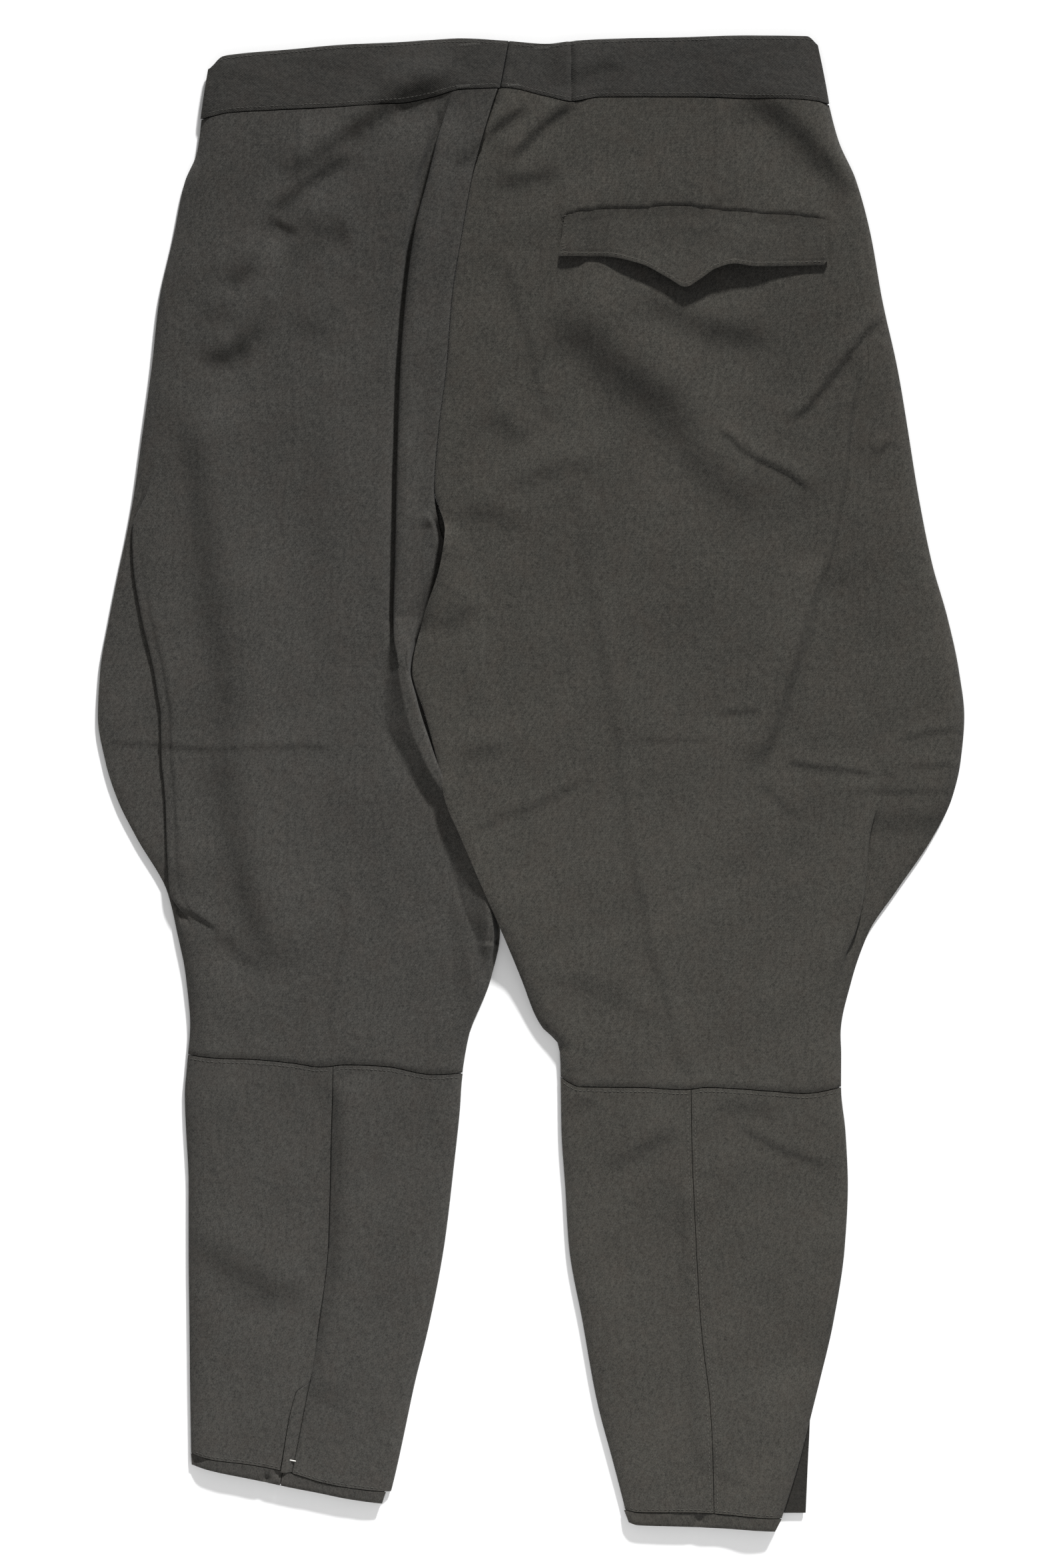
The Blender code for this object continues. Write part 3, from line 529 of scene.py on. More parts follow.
def waves(across, down, length, count, seed):
    """Soft unevenness: slow waves of about one length in many directions, between -1 and 1 or so."""
    rng = np.random.default_rng(seed)
    total = 0.0
    for _ in range(count):
        turn, phase, scale = rng.uniform(0, 2 * np.pi, 2).tolist() + [rng.uniform(0.7, 1.5)]
        along = across * np.cos(turn) + down * np.sin(turn)
        total = total + np.cos(2 * np.pi * along / (length * scale) + phase)
    return total / np.sqrt(count)


def beside(across, down, start, end):
    """How far each point is from a stretch of line, how far to its side, and how far along it."""
    run = np.subtract(end, start)
    x, y = across - start[0], down - start[1]
    share = np.clip((x * run[0] + y * run[1]) / (run @ run), 0, 1)
    away = np.hypot(x - share * run[0], y - share * run[1])
    return away, (x * run[1] - y * run[0]) / np.hypot(*run), share * np.hypot(*run)


def run_middle(places):
    """The place across that is halfway between the two ends of a line."""
    return (places[0][0] + places[-1][0]) / 2


def one_crease(across, down, half, drop, places):
    """A step down, away from the lamp, along a line of places whose pieces are blended softly."""
    signed, total, length = 0.0, 0.0, 0.0
    along, nearest = 0.0, np.inf
    for start, end in zip(places, places[1:]):
        away, side, far = beside(across, down, start, end)
        near = (away ** 2 + 0.3 * half ** 2) ** -3
        signed, total = signed + near * side, total + near
        along = np.where(away < nearest, length + far, along)
        nearest = np.minimum(nearest, away)
        length += np.hypot(*np.subtract(end, start))
    signed = signed / total
    run = np.subtract(places[-1], places[0])
    toward = LAMP_SIDE["left" if run_middle(places) < LEFT_OF_PLEAT else "right"]
    lamp = np.sign(run[1] * toward[0] - run[0] * toward[1])
    tail = min(0.32 * length, 2.4 * half + 9)
    fade = ease(along, 0, tail) * (1 - ease(along, length - tail, length))
    calm = np.exp(-((nearest / (2.6 * half + 5)) ** 2))
    return drop * fade * (0.5 * np.tanh(lamp * signed / half) + 0.15) * calm


def crease_height(across, down):
    """All creases together, in millimetres. Each is worked out only near its own line."""
    across, down = np.broadcast_arrays(np.asarray(across, float), np.asarray(down, float))
    total = np.zeros(across.shape)
    for _, half, drop, *places in CREASES:
        low, high = np.min(places, axis=0), np.max(places, axis=0)
        reach = 4 * (2.2 * half + 5)    # beyond this a crease adds nothing that shows
        near = (across > low[0] - reach) & (across < high[0] + reach)
        near &= (down > low[1] - reach) & (down < high[1] + reach)
        total[near] += one_crease(across[near], down[near], half, drop, places)
    return total


def inside(side, across, down):
    """1 well inside a leg, and 0 along its edges, where the layers are pinned together."""
    outer, inner = pinned(side, across, down)
    return rise(outer * 0.7) * rise(inner * 0.7)


def relief(side, across, down):
    """What the cloth of the back adds to the solid model's height."""
    soft = 0.50 * waves(across, down, 75, 14, 3) + 0.16 * waves(across, down, 26, 18, 4)
    fine = 0.035 * waves(across, down, 9, 18, 5)
    total = (crease_height(across, down) + soft + fine) * inside(side, across, down)
    return total + (right_edge_lift(across, down) if side == "right" else 0)


LIFT_REACH = 10.0    # how far in from the edge the cloth comes down again
EDGE_LIFT = table(
    "down lift",
    (325, 0.5), (342, 4.6), (395, 5.4), (425, 5.6), (484, 6.4), (498, 8.8), (560, 9.6),
    (590, 7.6), (640, 2.0), (660, 0),
)


def right_edge_lift(across, down):
    """Below the crotch the inner edge of the right leg stands up off the left leg."""
    away = across - smooth(LEGS["right"], "inner", down)
    return smooth(EDGE_LIFT, "lift", down) * np.exp(-np.maximum(away, 0) / LIFT_REACH)


print(len(CREASES), "creases")

# %% [markdown]
# ## From a grid of places to a wall of cloth
#
# A panel is a grid of points in the middle of its cloth. Half the cloth's thickness is added to
# both sides, and a rim closes the edges, so each panel is a real closed wall like the one that
# it stands for. Blender's Solidify modifier would do nearly the same, but it moves edges
# sideways, and the narrow gaps between sewn pieces would be lost.

# %% Panels
CLOTHES = {}


def place(across, down, height):
    """Points in metres from places in millimetres."""
    across, down, height = np.broadcast_arrays(across, down, height)
    return np.stack([across * MM, (TOP - down) * MM, height * MM], axis=-1)


def coarse(count, step):
    """Every few places of a count, always with the first and the last."""
    return np.unique(np.append(np.arange(0, count, step), count - 1))


def wall_faces(rows, columns, row_at, column_at):
    """Faces of a closed wall: a fine upper side, a coarse lower side and the rim between them."""
    index = np.arange(rows * columns).reshape(rows, columns)
    under = np.arange(len(row_at) * len(column_at)).reshape(len(row_at), -1) + rows * columns
    a, b, d, e = index[:-1, :-1], index[:-1, 1:], index[1:, :-1], index[1:, 1:]
    faces = np.stack([a, d, e, b], -1).reshape(-1, 4).tolist()
    a, b, d, e = under[:-1, :-1], under[:-1, 1:], under[1:, :-1], under[1:, 1:]
    faces += np.stack([a, b, e, d], -1).reshape(-1, 4).tolist()
    sides = (
        (index[0], under[0], column_at, 1), (index[-1], under[-1], column_at, -1),
        (index[:, 0], under[:, 0], row_at, -1), (index[:, -1], under[:, -1], row_at, 1),
    )
    for fine, low, at, turn in sides:
        for i, (start, end) in enumerate(zip(at, at[1:])):
            face = fine[start:end + 1].tolist() + [int(low[i + 1]), int(low[i])]
            faces.append(face[::turn])
    return faces


def panel(name, node, grid, wall, finish, step=4):
    """A closed wall of cloth round a grid of places, in the place of one node."""
    normal = np.cross(np.gradient(grid, axis=0), np.gradient(grid, axis=1))
    normal /= np.linalg.norm(normal, axis=2, keepdims=True)
    for edge in (normal[0], normal[-1], normal[:, 0], normal[:, -1]):
        edge[:] = (0, 0, 1)
    half = normal * wall / 2 * MM
    row_at, column_at = coarse(grid.shape[0], step), coarse(grid.shape[1], step)
    under = (grid - half)[row_at][:, column_at]
    points = np.concatenate([(grid + half).reshape(-1, 3), under.reshape(-1, 3)])
    points[:, 2] = np.maximum(points[:, 2], 0)
    mesh = bpy.data.meshes.new(name)
    mesh.from_pydata(points.tolist(), [], wall_faces(*grid.shape[:2], row_at, column_at))
    mesh.shade_smooth()
    mesh.set_sharp_from_angle(angle=1.1)
    mesh.materials.append(finish)
    piece = bpy.data.objects.new(name, mesh)
    bpy.context.scene.collection.objects.link(piece)
    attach(piece, "root")
    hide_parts(node)
    CLOTHES[name] = piece
    wide = np.linalg.norm(np.diff(grid, axis=1), axis=2).sum(axis=1).max()
    long = np.linalg.norm(np.diff(grid, axis=0), axis=2).sum(axis=0).max()
    cell = np.cross(np.diff(grid, axis=1)[:-1], np.diff(grid, axis=0)[:, :-1])
    area = np.linalg.norm(cell, axis=2).sum()
    print(name, "is", round(wide, 3), "by", round(long, 3), "m, its area", round(area, 4))
    return piece

# %% [markdown]
# ## Writing shader maths as sums
#
# A material in Blender is a net of nodes. Drawn by hand it is easy to read, but a long sum soon
# fills the screen. Here a small class wraps a socket, so that a line of Python such as
# 1 - wave * 0.2 adds the Math nodes by itself. Colours go through the Mix node instead, because a
# Math node turns a colour grey.

# %% A socket that can be used in sums
class Value:
    """A socket of a material's net. Sums on it add Math nodes."""

    def __init__(self, finish, socket):
        self.finish, self.socket = finish, socket

    def math(self, operation, first, second=None):
        values = {0: first} if second is None else {0: first, 1: second}
        return self.finish.node("Math", {"operation": operation}, values)

    def __add__(self, other):
        return self.math("ADD", self, other)

    def __radd__(self, other):
        return self.math("ADD", other, self)

    def __sub__(self, other):
        return self.math("SUBTRACT", self, other)

    def __rsub__(self, other):
        return self.math("SUBTRACT", other, self)

    def __mul__(self, other):
        return self.math("MULTIPLY", self, other)

    def __rmul__(self, other):
        return self.math("MULTIPLY", other, self)

    def __truediv__(self, other):
        return self.math("DIVIDE", self, other)

    def __rtruediv__(self, other):
        return self.math("DIVIDE", other, self)

    def __pow__(self, other):
        return self.math("POWER", self, other)

    def sine(self):
        return self.math("SINE", self)


class Finish:
    """A new material, with one method that makes any of its nodes."""

    def __init__(self, name):
        self.material = bpy.data.materials.new(name)
        self.material.use_nodes = True
        self.tree = self.material.node_tree
        self.surface = self.tree.nodes["Principled BSDF"]

    def put(self, socket, value):
        """Links a value to a socket, or sets the socket to a plain number or colour."""
        if isinstance(value, Value):
            self.tree.links.new(value.socket, socket)
        else:
            socket.default_value = value

    def node(self, kind, settings, values, output=0):
        """Any shader node: its settings, what goes into its sockets, and which output is meant."""
        node = self.tree.nodes.new("ShaderNode" + kind)
        for name, setting in settings.items():
            setattr(node, name, setting)
        for socket, value in values.items():
            self.put(node.inputs[socket], value)
        return Value(self, node.outputs[output])

    def dot(self, vector, direction):
        """How far a place lies in a direction."""
        return self.node("VectorMath", {"operation": "DOT_PRODUCT"}, {0: vector, 1: direction}, 1)

    def mix(self, share, first, second):
        """A colour between two colours."""
        return self.node("Mix", {"data_type": "RGBA"}, {0: share, 6: first, 7: second}, 2)

    def noise(self, vector, scale, detail=2.0, rough=0.5):
        """Soft random values; the larger the scale, the finer they are."""
        values = {"Vector": vector, "Scale": scale, "Detail": detail, "Roughness": rough}
        return self.node("TexNoise", {}, values)


print("shader sums ready")

# %% [markdown]
# ## The twill
#
# Twill is woven so that each yarn passes over two and under one, one step further on each row.
# The steps line up as fine diagonal ribs. This one is spun from fibres of several greys, so close
# up it is flecked, warm and cool, and from further away it is a dark stone-grey. The ribs are a
# sine wave across the diagonal, broken up by noise along it. The same wave moves colour,
# roughness and bump. Coordinates come from the object itself, so that the weave has its real
# size in millimetres everywhere.

# %% Make the twill
def make_twill(name, turn, tone=1.0, rib=0.95, warmth=0.0):
    """The cloth, with its grain turned by some degrees from the length of the garment."""
    cloth = Finish(name)
    where = cloth.node("TexCoord", {}, {}, 3)
    turn = np.radians(turn)
    u = cloth.dot(where, (float(np.cos(turn)), float(np.sin(turn)), 0.0))
    v = cloth.dot(where, (float(-np.sin(turn)), float(np.cos(turn)), 0.35))
    wobble = cloth.noise(where, 90.0, 2.0)
    lean = (u * 0.86 + v * -0.5) * (2 * np.pi * 1000 / rib) + wobble * 5.0
    ribs = lean.sine() * 0.5
    yarn = (v * (2 * np.pi * 1000 / (rib * 0.62)) + wobble * 4.0).sine() * 0.5
    diagonal = cloth.node("CombineXYZ", {}, {
        0: (u * 0.86 + v * -0.5) * 2.1, 1: (u * 0.5 + v * 0.86) * 0.9, 2: 0.0})
    fleck = cloth.noise(diagonal, 800.0, 3.0, 0.7) - 0.5
    slub = cloth.noise(diagonal, 260.0, 3.0, 0.6) - 0.5
    streak = cloth.noise(cloth.node("CombineXYZ", {}, {0: u * 6.0, 1: v, 2: 0.0}), 45.0) - 0.5
    cloudy = cloth.noise(where, 13.0, 3.0, 0.55) - 0.5
    hue = cloth.noise(where, 70.0, 4.0, 0.7)
    # Painted shade: the cloth's colour is made darker towards the waist and lighter towards the hems,
    # standing in for light that is weaker at the top.
    north_for_painted_shade = cloth.dot(where, (0.0, 1.0, 0.0))
    share = (ribs * 0.16 + yarn * 0.08 + fleck * 2.6 + slub * 1.4 + streak * 0.35
             + cloudy * 0.40 + 0.5 - north_for_painted_shade * 0.27)
    dark = tuple(c * 0.40 * tone for c in CLOTH_GREY) + (1.0,)
    pale = tuple(c * 1.60 * tone for c in CLOTH_GREY) + (1.0,)
    grey = cloth.mix(share, dark, pale)
    warm = tuple(c * tone for c in (0.050, 0.038, 0.031)) + (1.0,)
    colour = cloth.mix((hue - 0.44 + warmth) * 0.7, grey, warm)
    cloth.put(cloth.surface.inputs["Base Color"], colour)
    cloth.put(cloth.surface.inputs["Roughness"], 0.93 - ribs * 0.10 - fleck * 0.10)
    height = ribs * 0.10 + yarn * 0.05 + fleck * 0.16 + slub * 0.10
    settings = {"Height": height, "Strength": 0.55, "Distance": 0.0012}
    bump = cloth.node("Bump", {}, settings)
    cloth.put(cloth.surface.inputs["Normal"], bump)
    cloth.surface.inputs["Specular IOR Level"].default_value = 0.22
    cloth.surface.inputs["Sheen Weight"].default_value = 0.05
    cloth.surface.inputs["Sheen Roughness"].default_value = 0.6
    print(name, "with ribs", rib, "mm apart")
    return cloth.material


CLOTH_GREY = (0.0378, 0.0361, 0.0322)
THIGH_CLOTH = make_twill("twill_thigh", 0.0)
CALF_CLOTH = make_twill("twill_calf", 4.0, 0.94)
BAND_CLOTH = make_twill("twill_band", 88.0, 0.68)
FLAP_CLOTH = make_twill("twill_flap", -3.0, 0.83)
EDGE_CLOTH = make_twill("twill_edge", 40.0, 0.80)
UNDERLAP_CLOTH = make_twill("inner_cloth_worn", 4.0, 0.94)
INNER_CLOTH = make_twill("inner_cloth", 90.0, 0.40, 0.3)

# %% [markdown]
# ## The thighs
#
# Each back thigh is one wide panel. Its sections are set one below another every few millimetres
# and bent at the top to the waist seam and at the bottom to the knee seam. Beside a sewn seam
# the cloth turns down a little, which gives the thin dark line that a seam shows.

# %% Back thighs
def bend(side, across, station):
    """The real distance down: bent to the waist seam above and the knee seam below."""
    last = KNEE[side]
    above = (smooth(WAIST, "seam", across) + SEAM - WAIST_START) * (1 - ease(station, 45, 110))
    below = (smooth(SEAMS[side], "knee", across) - SEAM - last) * ease(station, last - 60, last)
    return station + above + below


def turned_down(away, depth=0.8, reach=2.4):
    """How far cloth is turned down at a distance from a sewn edge."""
    return -depth * np.exp(-((np.maximum(away, 0) / reach) ** 2))


def centre_seam_dip(side, across, down):
    """The two halves meet in a groove along the centre seam above the crotch."""
    away = from_edges(side, across, down)[1]
    deep, wide = (0.9, 1.2) if side == "left" else (3.0, 1.6)
    return turned_down(away, deep, wide) * (1 - ease(down, CROTCH - 30, CROTCH - 4))


def flap_bed(across, down):
    """Above the pocket flap the cloth swells a little, and ends sharply where the flap begins."""
    above = smooth(FLAP, "top", across) - down
    ends = ease(across, 17, 24) * (1 - ease(across, 190, 197))
    edge = -0.9 * np.exp(-(((across - 196.3) / 0.9) ** 2)) * ease(down, 119, 123)
    edge = edge * (1 - ease(down, 148, 153))
    return 2.0 * ends * (1 - ease(above, 0, 42)) * ease(above, -0.2, 0.9) + edge


def back_thigh(side, section, rows):
    """The grid of a back thigh, with its creases and the dips along its seams."""
    stations = np.linspace(WAIST_START, KNEE[side], rows)
    x, z = (np.array(v) for v in zip(*(section(station) for station in stations)))
    down = bend(side, x, stations[:, None])
    waist = down - smooth(WAIST, "seam", x)
    knee = smooth(SEAMS[side], "knee", x) - down
    z = z + relief(side, x, down) + centre_seam_dip(side, x, down)
    z = z + turned_down(waist, 0.9, 22.0) + turned_down(knee, 1.0, 2.0)
    if side == "right":
        z = z + flap_bed(x, down)
    return place(x, down, np.maximum(z, BACK_REST))


left_grid = back_thigh("left", left_back_section, 396)
right_grid = back_thigh("right", right_back_section, 350)
panel("back_thigh_left", "thigh_back_left", left_grid, WALL, THIGH_CLOTH)
panel("back_thigh_right", "thigh_back_right", right_grid, WALL, THIGH_CLOTH)

# %% [markdown]
# ## The calves
#
# Below the knee each leg is narrow and is cut in two pieces behind, with a seam in the middle
# and an open vent at the hem. Their surface is the same roll of cloth as above.

# %% Back calves
def calf_ends(side, start_name, end_name, station):
    """Where a back calf piece begins and ends at one height, with a gap left for the seam."""
    ends = []
    for name, sign in ((start_name, 1), (end_name, -1)):
        line = LEGS[side] if name in LEGS[side] else CALF_LINES
        ends.append(smooth(line, name, station) + sign * (SEAM * 0.7 if line is CALF_LINES else 0))
    return ends


def bend_calf(side, across, station):
    """The real distance down: bent to the knee seam above and to the hem below."""
    knee, hem = KNEE[side], HEM[side]
    above = (smooth(SEAMS[side], "knee", across) + SEAM - knee) * (1 - ease(station, knee, knee + 70))
    below = (smooth(SEAMS[side], "hem", across) - SEAM - hem) * ease(station, hem - 70, hem)
    return station + above + below


def back_calf(side, start_name, end_name, rows=170, columns=72):
    """The grid of one half of a back calf."""
    stations = np.linspace(KNEE[side], HEM[side], rows)
    ends = np.array([calf_ends(side, start_name, end_name, station) for station in stations])
    x = ends[:, :1] + (ends[:, 1:] - ends[:, :1]) * np.linspace(0, 1, columns)
    down = bend_calf(side, x, stations[:, None])
    z = back_height(side, x, stations[:, None]) + relief(side, x, down)
    z = z + turned_down(down - smooth(SEAMS[side], "knee", x), 0.5, 14.0)
    if "vent" in end_name or "seam" in end_name:
        z = z + turned_down(ends[:, 1:] - x, 0.35 if side == "left" else 0.5, 1.2)
    if "seam" in start_name:
        z = z + turned_down(x - ends[:, :1], 0.35 if side == "left" else 0.5, 1.2)
    return place(x, down, np.maximum(z, BACK_REST))


for side, half, start_name, end_name in (
    ("left", "outer", "outer", "left_vent"), ("left", "inner", "left_seam", "inner"),
    ("right", "inner", "inner", "right_seam"), ("right", "outer", "right_seam", "outer"),
):
    grid = back_calf(side, start_name, end_name)
    panel(f"back_calf_{side}_{half}", f"calf_back_{side}_{half}", grid, WALL, CALF_CLOTH)

# %% [markdown]
# ## The front, underneath
#
# The front panels lie on the surface. Where the back above them arches up, the front has a few
# soft creases of its own, which only rise and never go below the surface it rests on.

# %% Front panels
def front_ends(side, station):
    """The outer and inner edge of a front panel."""
    inner = smooth(LEGS[side], "inner", station) + SIGN[side] * (SEAM if station < CROTCH else 1)
    if side == "left":
        meet = smooth(LEGS["right"], "inner", station) - SEAM
        inner = max(inner, meet) if 290 < station < 345 else inner
        inner = inner - (FLY_WIDTH if station < FLY_END else 0)
    return smooth(LEGS[side], "outer", station) - SIGN[side] * 0.6, inner


def front_relief(side, across, down):
    """Soft creases that only rise, well away from the edges."""
    outer, inner = from_edges(side, across, down)
    knee = KNEE[side]
    fade = ease(outer, 14, 40) * ease(inner, 26, 50) * ease(down, 60, 90) * (1 - ease(down, 900, 940))
    fade = fade * (ease(down, knee, knee + 20) + 1 - ease(down, knee - 20, knee))
    soft = waves(across, down, 90, 12, 31) * 0.8 + waves(across * 0.35, down, 26, 10, 32) * 0.5
    return np.maximum(soft - 0.35, 0) ** 1.3 * fade * 1.1


FLY_END, FLY_WIDTH = 231.0, 36.0


def front_rows(first, last, count):
    """Evenly spaced rows, with a clean step where the fly strip ends."""
    rows = np.linspace(first, last, count)
    rows = rows[(rows < FLY_END - 3) | (rows > FLY_END + 8)]
    return np.sort(np.append(rows, [FLY_END - 1, FLY_END + 6])) if first < FLY_END else rows


def front_grid(side, first, last, rows, columns, bent):
    """The grid of a front panel, which lies on the surface."""
    stations = front_rows(first, last, rows)
    ends = np.array([sorted(front_ends(side, station)) for station in stations])
    x = ends[:, :1] + (ends[:, 1:] - ends[:, :1]) * np.linspace(0, 1, columns)
    down = bent(side, x, stations[:, None])
    lift = stack_lift(x, stations[:, None]) if side == "right" else 0.0
    return place(x, down, WALL / 2 + lift + front_relief(side, x, down))


for side in ("left", "right"):
    grid = front_grid(side, WAIST_START, KNEE[side], 180, 80, bend)
    panel(f"front_thigh_{side}", f"thigh_front_{side}", grid, WALL, THIGH_CLOTH)
    grid = front_grid(side, KNEE[side], HEM[side], 80, 44, bend_calf)
    panel(f"front_calf_{side}", f"calf_front_{side}", grid, WALL, CALF_CLOTH)

# %% [markdown]
# ## Waistband and fly
#
# The waistband is a strip folded double, in four pieces: two behind, which meet at the centre
# seam, and two in front. It is thicker than the legs, so its lower edge stands over them and
# casts a thin shadow. The fly is a plain strip in front, beside the centre seam.

# %% Waistband
def band_grid(start, end, height, rows=26, columns=150):
    """A strip of the waistband between two ends that slope a little outwards as they go down."""
    grid = []
    for share in np.linspace(0, 1, rows):
        first, last = blend(start[0], start[1], share), blend(end[0], end[1], share)
        x = np.linspace(first, last, columns)
        corner = 5 * (1 - ease(np.minimum(x + 213, 191 - x), 0, 9)) * (1 - share)
        down = blend(smooth(WAIST, "top", x) + corner, smooth(WAIST, "seam", x) - SEAM * 1.6, share)
        grid.append(place(x, down, height(x, down, share)))
    return np.array(grid)


def stitch_groove(away, depth=0.28, half=0.9):
    """Thread pulls the cloth in a little along its row."""
    return -depth * np.exp(-((away / half) ** 2))


def behind(x, down, share):
    """Height of the waistband's back half, rolled at its edges and pulled in at the centre."""
    side = rise(np.minimum(x + 218.5, 197 - x))
    middle = 0.6 * np.exp(-(((x - 27) / 9) ** 2))
    soft = 0.9 * np.exp(-(((x - 8) / 10) ** 2)) + 0.9 * np.exp(-(((x - 46) / 10) ** 2))
    top, low = down - smooth(WAIST, "top", x), smooth(WAIST, "seam", x) - down
    seam = turned_down(abs(x + 14.8 + share * 5.6), 1.5, 1.2)
    rolled = turned_down(top, 0.9, 1.5) + turned_down(low, 0.7, 1.1)
    rolled = rolled + stitch_groove(top - 3.4) + stitch_groove(low - 3.0)
    wavy = crease_height(x, down) * 0.7 + 0.28 * waves(x, down, 60, 12, 8)
    wavy = wavy + 0.10 * waves(x, down, 14, 16, 9)
    wavy = wavy - 2.4 * np.exp(-(((x - 26.5) / 1.5) ** 2)) * (1 - 0.4 * share)
    base = BAND_WALL * 1.5 + SEAM + (1.2 + 2.6 * share) * side + middle - soft
    return np.maximum(base + 0.5 * side * share + (wavy + rolled) * side + seam, 3.3)


def in_front(x, down, share):
    """The front half lies flat on the surface."""
    return np.full(x.shape, BAND_WALL / 2)


left_in, left_fly = front_ends("left", WAIST_START)[0], smooth(LEGS["left"], "inner", 45) - SEAM
right_in = front_ends("right", WAIST_START)
BANDS = (
    ("back_waistband_left", "waistband_back_left", (-213.5, -218.5), (-14.9, -20.7), behind),
    ("back_waistband_right", "waistband_back_right", (-14.4, -20.2), (189.5, 197), behind),
    ("front_waistband_left", "waistband_front_left", (-212.5, left_in), (-16.5, left_fly), in_front),
    ("front_waistband_right", "waistband_front_right", (-15.7, right_in[1]),
     (188.5, right_in[0]), in_front),
)
for name, node, start, end, height in BANDS:
    panel(name, node, band_grid(start, end, height), BAND_WALL, BAND_CLOTH)

fly_rows = []
for station in np.linspace(WAIST_START, FLY_END - 1.5, 60):
    inner = smooth(LEGS["left"], "inner", station) - SEAM
    x = np.linspace(inner - FLY_WIDTH + 2 * SEAM, inner, 14)
    fly_rows.append(place(x, bend("left", x, station), WALL / 2))
panel("fly_strip", "fly", np.array(fly_rows), WALL, THIGH_CLOTH)

# %% [markdown]
# ## Hems
#
# A narrow binding closes each hem. Behind, the left one is open at the vent, where a strip of
# paler cloth shows between the two halves. A second strip, dark, shows beside the right hem.

# %% Hem bindings and the strips inside the vents
# Dents in the bindings: across, down and width.
HEM_DENTS = ((-221, 940, 4.5), (-175, 953, 2.2), (-167, 950, 3.0), (111, 981, 3.5))


def hem_grid(side, start, end, layer, rows=13, columns=110):
    """The grid of one hem binding, worn into dents where HEM_DENTS says so."""
    grid = []
    for share in np.linspace(0, 1, rows):
        x = np.linspace(blend(start[0], start[1], share), blend(end[0], end[1], share), columns)
        down = blend(smooth(SEAMS[side], "hem", x) + SEAM, smooth(SEAMS[side], "edge", x), share)
        z = np.full(columns, WALL / 2)
        if layer == "back":
            z = back_height(side, x, HEM[side] - 4.0) - 0.5
            z = z + turned_down(smooth(SEAMS[side], "edge", x) - down, 0.5, 1.2) + 0.2
            z = z + 0.12 * waves(x, down, 12, 12, 12) * inside(side, x, 930.0)
            for at, low, wide in HEM_DENTS:
                z = z - 2.2 * np.exp(-((x - at) ** 2 + (down - low) ** 2) / wide ** 2)
            z = np.maximum(z, BACK_REST)
        grid.append(place(x, down, z))
    return np.array(grid)


HEMS = (
    ("back_hem_left_outer", "hem_back_left_outer", "left", (-225, -224.5), (-164.5, -166), "back"),
    ("back_hem_left_inner", "hem_back_left_inner", "left", (-163.9, -165.4), (-96, -98.5), "back"),
    ("back_hem_right", "hem_back_right", "right", (61.5, 64.5), (165.5, 161), "back"),
    ("front_hem_left", "hem_front_left", "left", (-224.5, -224), (-97, -99), "front"),
    ("front_hem_right", "hem_front_right", "right", (62.5, 65), (165, 161), "front"),
)
for name, node, side, start, end, layer in HEMS:
    panel(name, node, hem_grid(side, start, end, layer), WALL, EDGE_CLOTH)

vent = []
for down in np.linspace(889.5, 949, 46):
    middle = smooth(CALF_LINES, "left_vent", down)
    gap = smooth(CALF_LINES, "left_seam", down) - middle
    x = np.linspace(middle + 0.1, middle + 5 + gap, 24)
    lift = blend(0.7 * min(gap / 6, 1), -1.6, ease(x - middle, 0.33 * gap, gap + 0.4))
    vent.append(place(x, down, back_height("left", x, down) + relief("left", x, down) + lift))
panel("vent_underlap", "vent_underlap_left", np.array(vent), WALL, UNDERLAP_CLOTH)
PLACKET = table("down edge", (908, 184.6), (925, 184), (940, 183.2), (958, 182.4), (976.5, 181.6))
placket = []
for down in np.linspace(908, 976.5, 46):
    edge = smooth(PLACKET, "edge", down)
    placket.append(place(np.linspace(edge - 24, edge, 20), down, BACK_REST))
panel("vent_placket", "vent_placket_right", np.array(placket), WALL, INNER_CLOTH)

# %% [markdown]
# ## The pocket flap
#
# One flap, two layers pressed flat, lies on the right hip. It is pointed a little left of its
# middle, and the point has curled up off the leg, which gives the deep shadow below it. Its top
# edge goes into a seam, so there it is turned down.

# %% Pocket flap
CURL = table(
    "across lift",
    (18, 2.2), (30, 1.9), (38, 0.0), (45, 0.3), (52, 2.0), (62, 4.2), (80, 5.2), (98, 4.8),
    (112, 6.4), (128, 7.6), (140, 6.0), (150, 4.4), (160, 2.6), (172, 1.4), (195, 0.4),
)


def flap_height(x, down, share):
    """The flap lies on the leg, held at its top edge, with its lower edge curled up."""
    across = np.clip(x, 24, 190)
    under = back_height("right", x, down) + relief("right", x, down)
    top, low = down - smooth(FLAP, "top", x), smooth(FLAP, "edge", x) - down
    rolled = turned_down(top, 1.3, 12.0) + turned_down(low, 0.4, 0.8) + stitch_groove(low - 3.2, 0.2)
    rolled = rolled + turned_down(np.minimum(x - 22 + 4.2 * share, 195.5 - x), 0.9, 1.1)
    soft = 0.22 * waves(x, down, 34, 12, 21) * np.sin(np.pi * share)
    creased = one_crease(x, down, 2.6, 1.5, ((94, 133), (103, 127), (113, 122)))
    creased = creased + one_crease(x, down, 3.0, 2.6, ((102, 137), (118, 129), (137, 119)))
    creased = creased + one_crease(x, down, 3.0, 1.8, ((126, 130), (133, 142), (140, 153)))
    base = under + WALL / 2 + 1.0 + FLAP_WALL / 2 + rolled
    lying = np.maximum(base, under + WALL / 2 + FLAP_WALL / 2 + 0.1)
    return lying + smooth(CURL, "lift", across) * share ** 1.4 + soft + creased * share


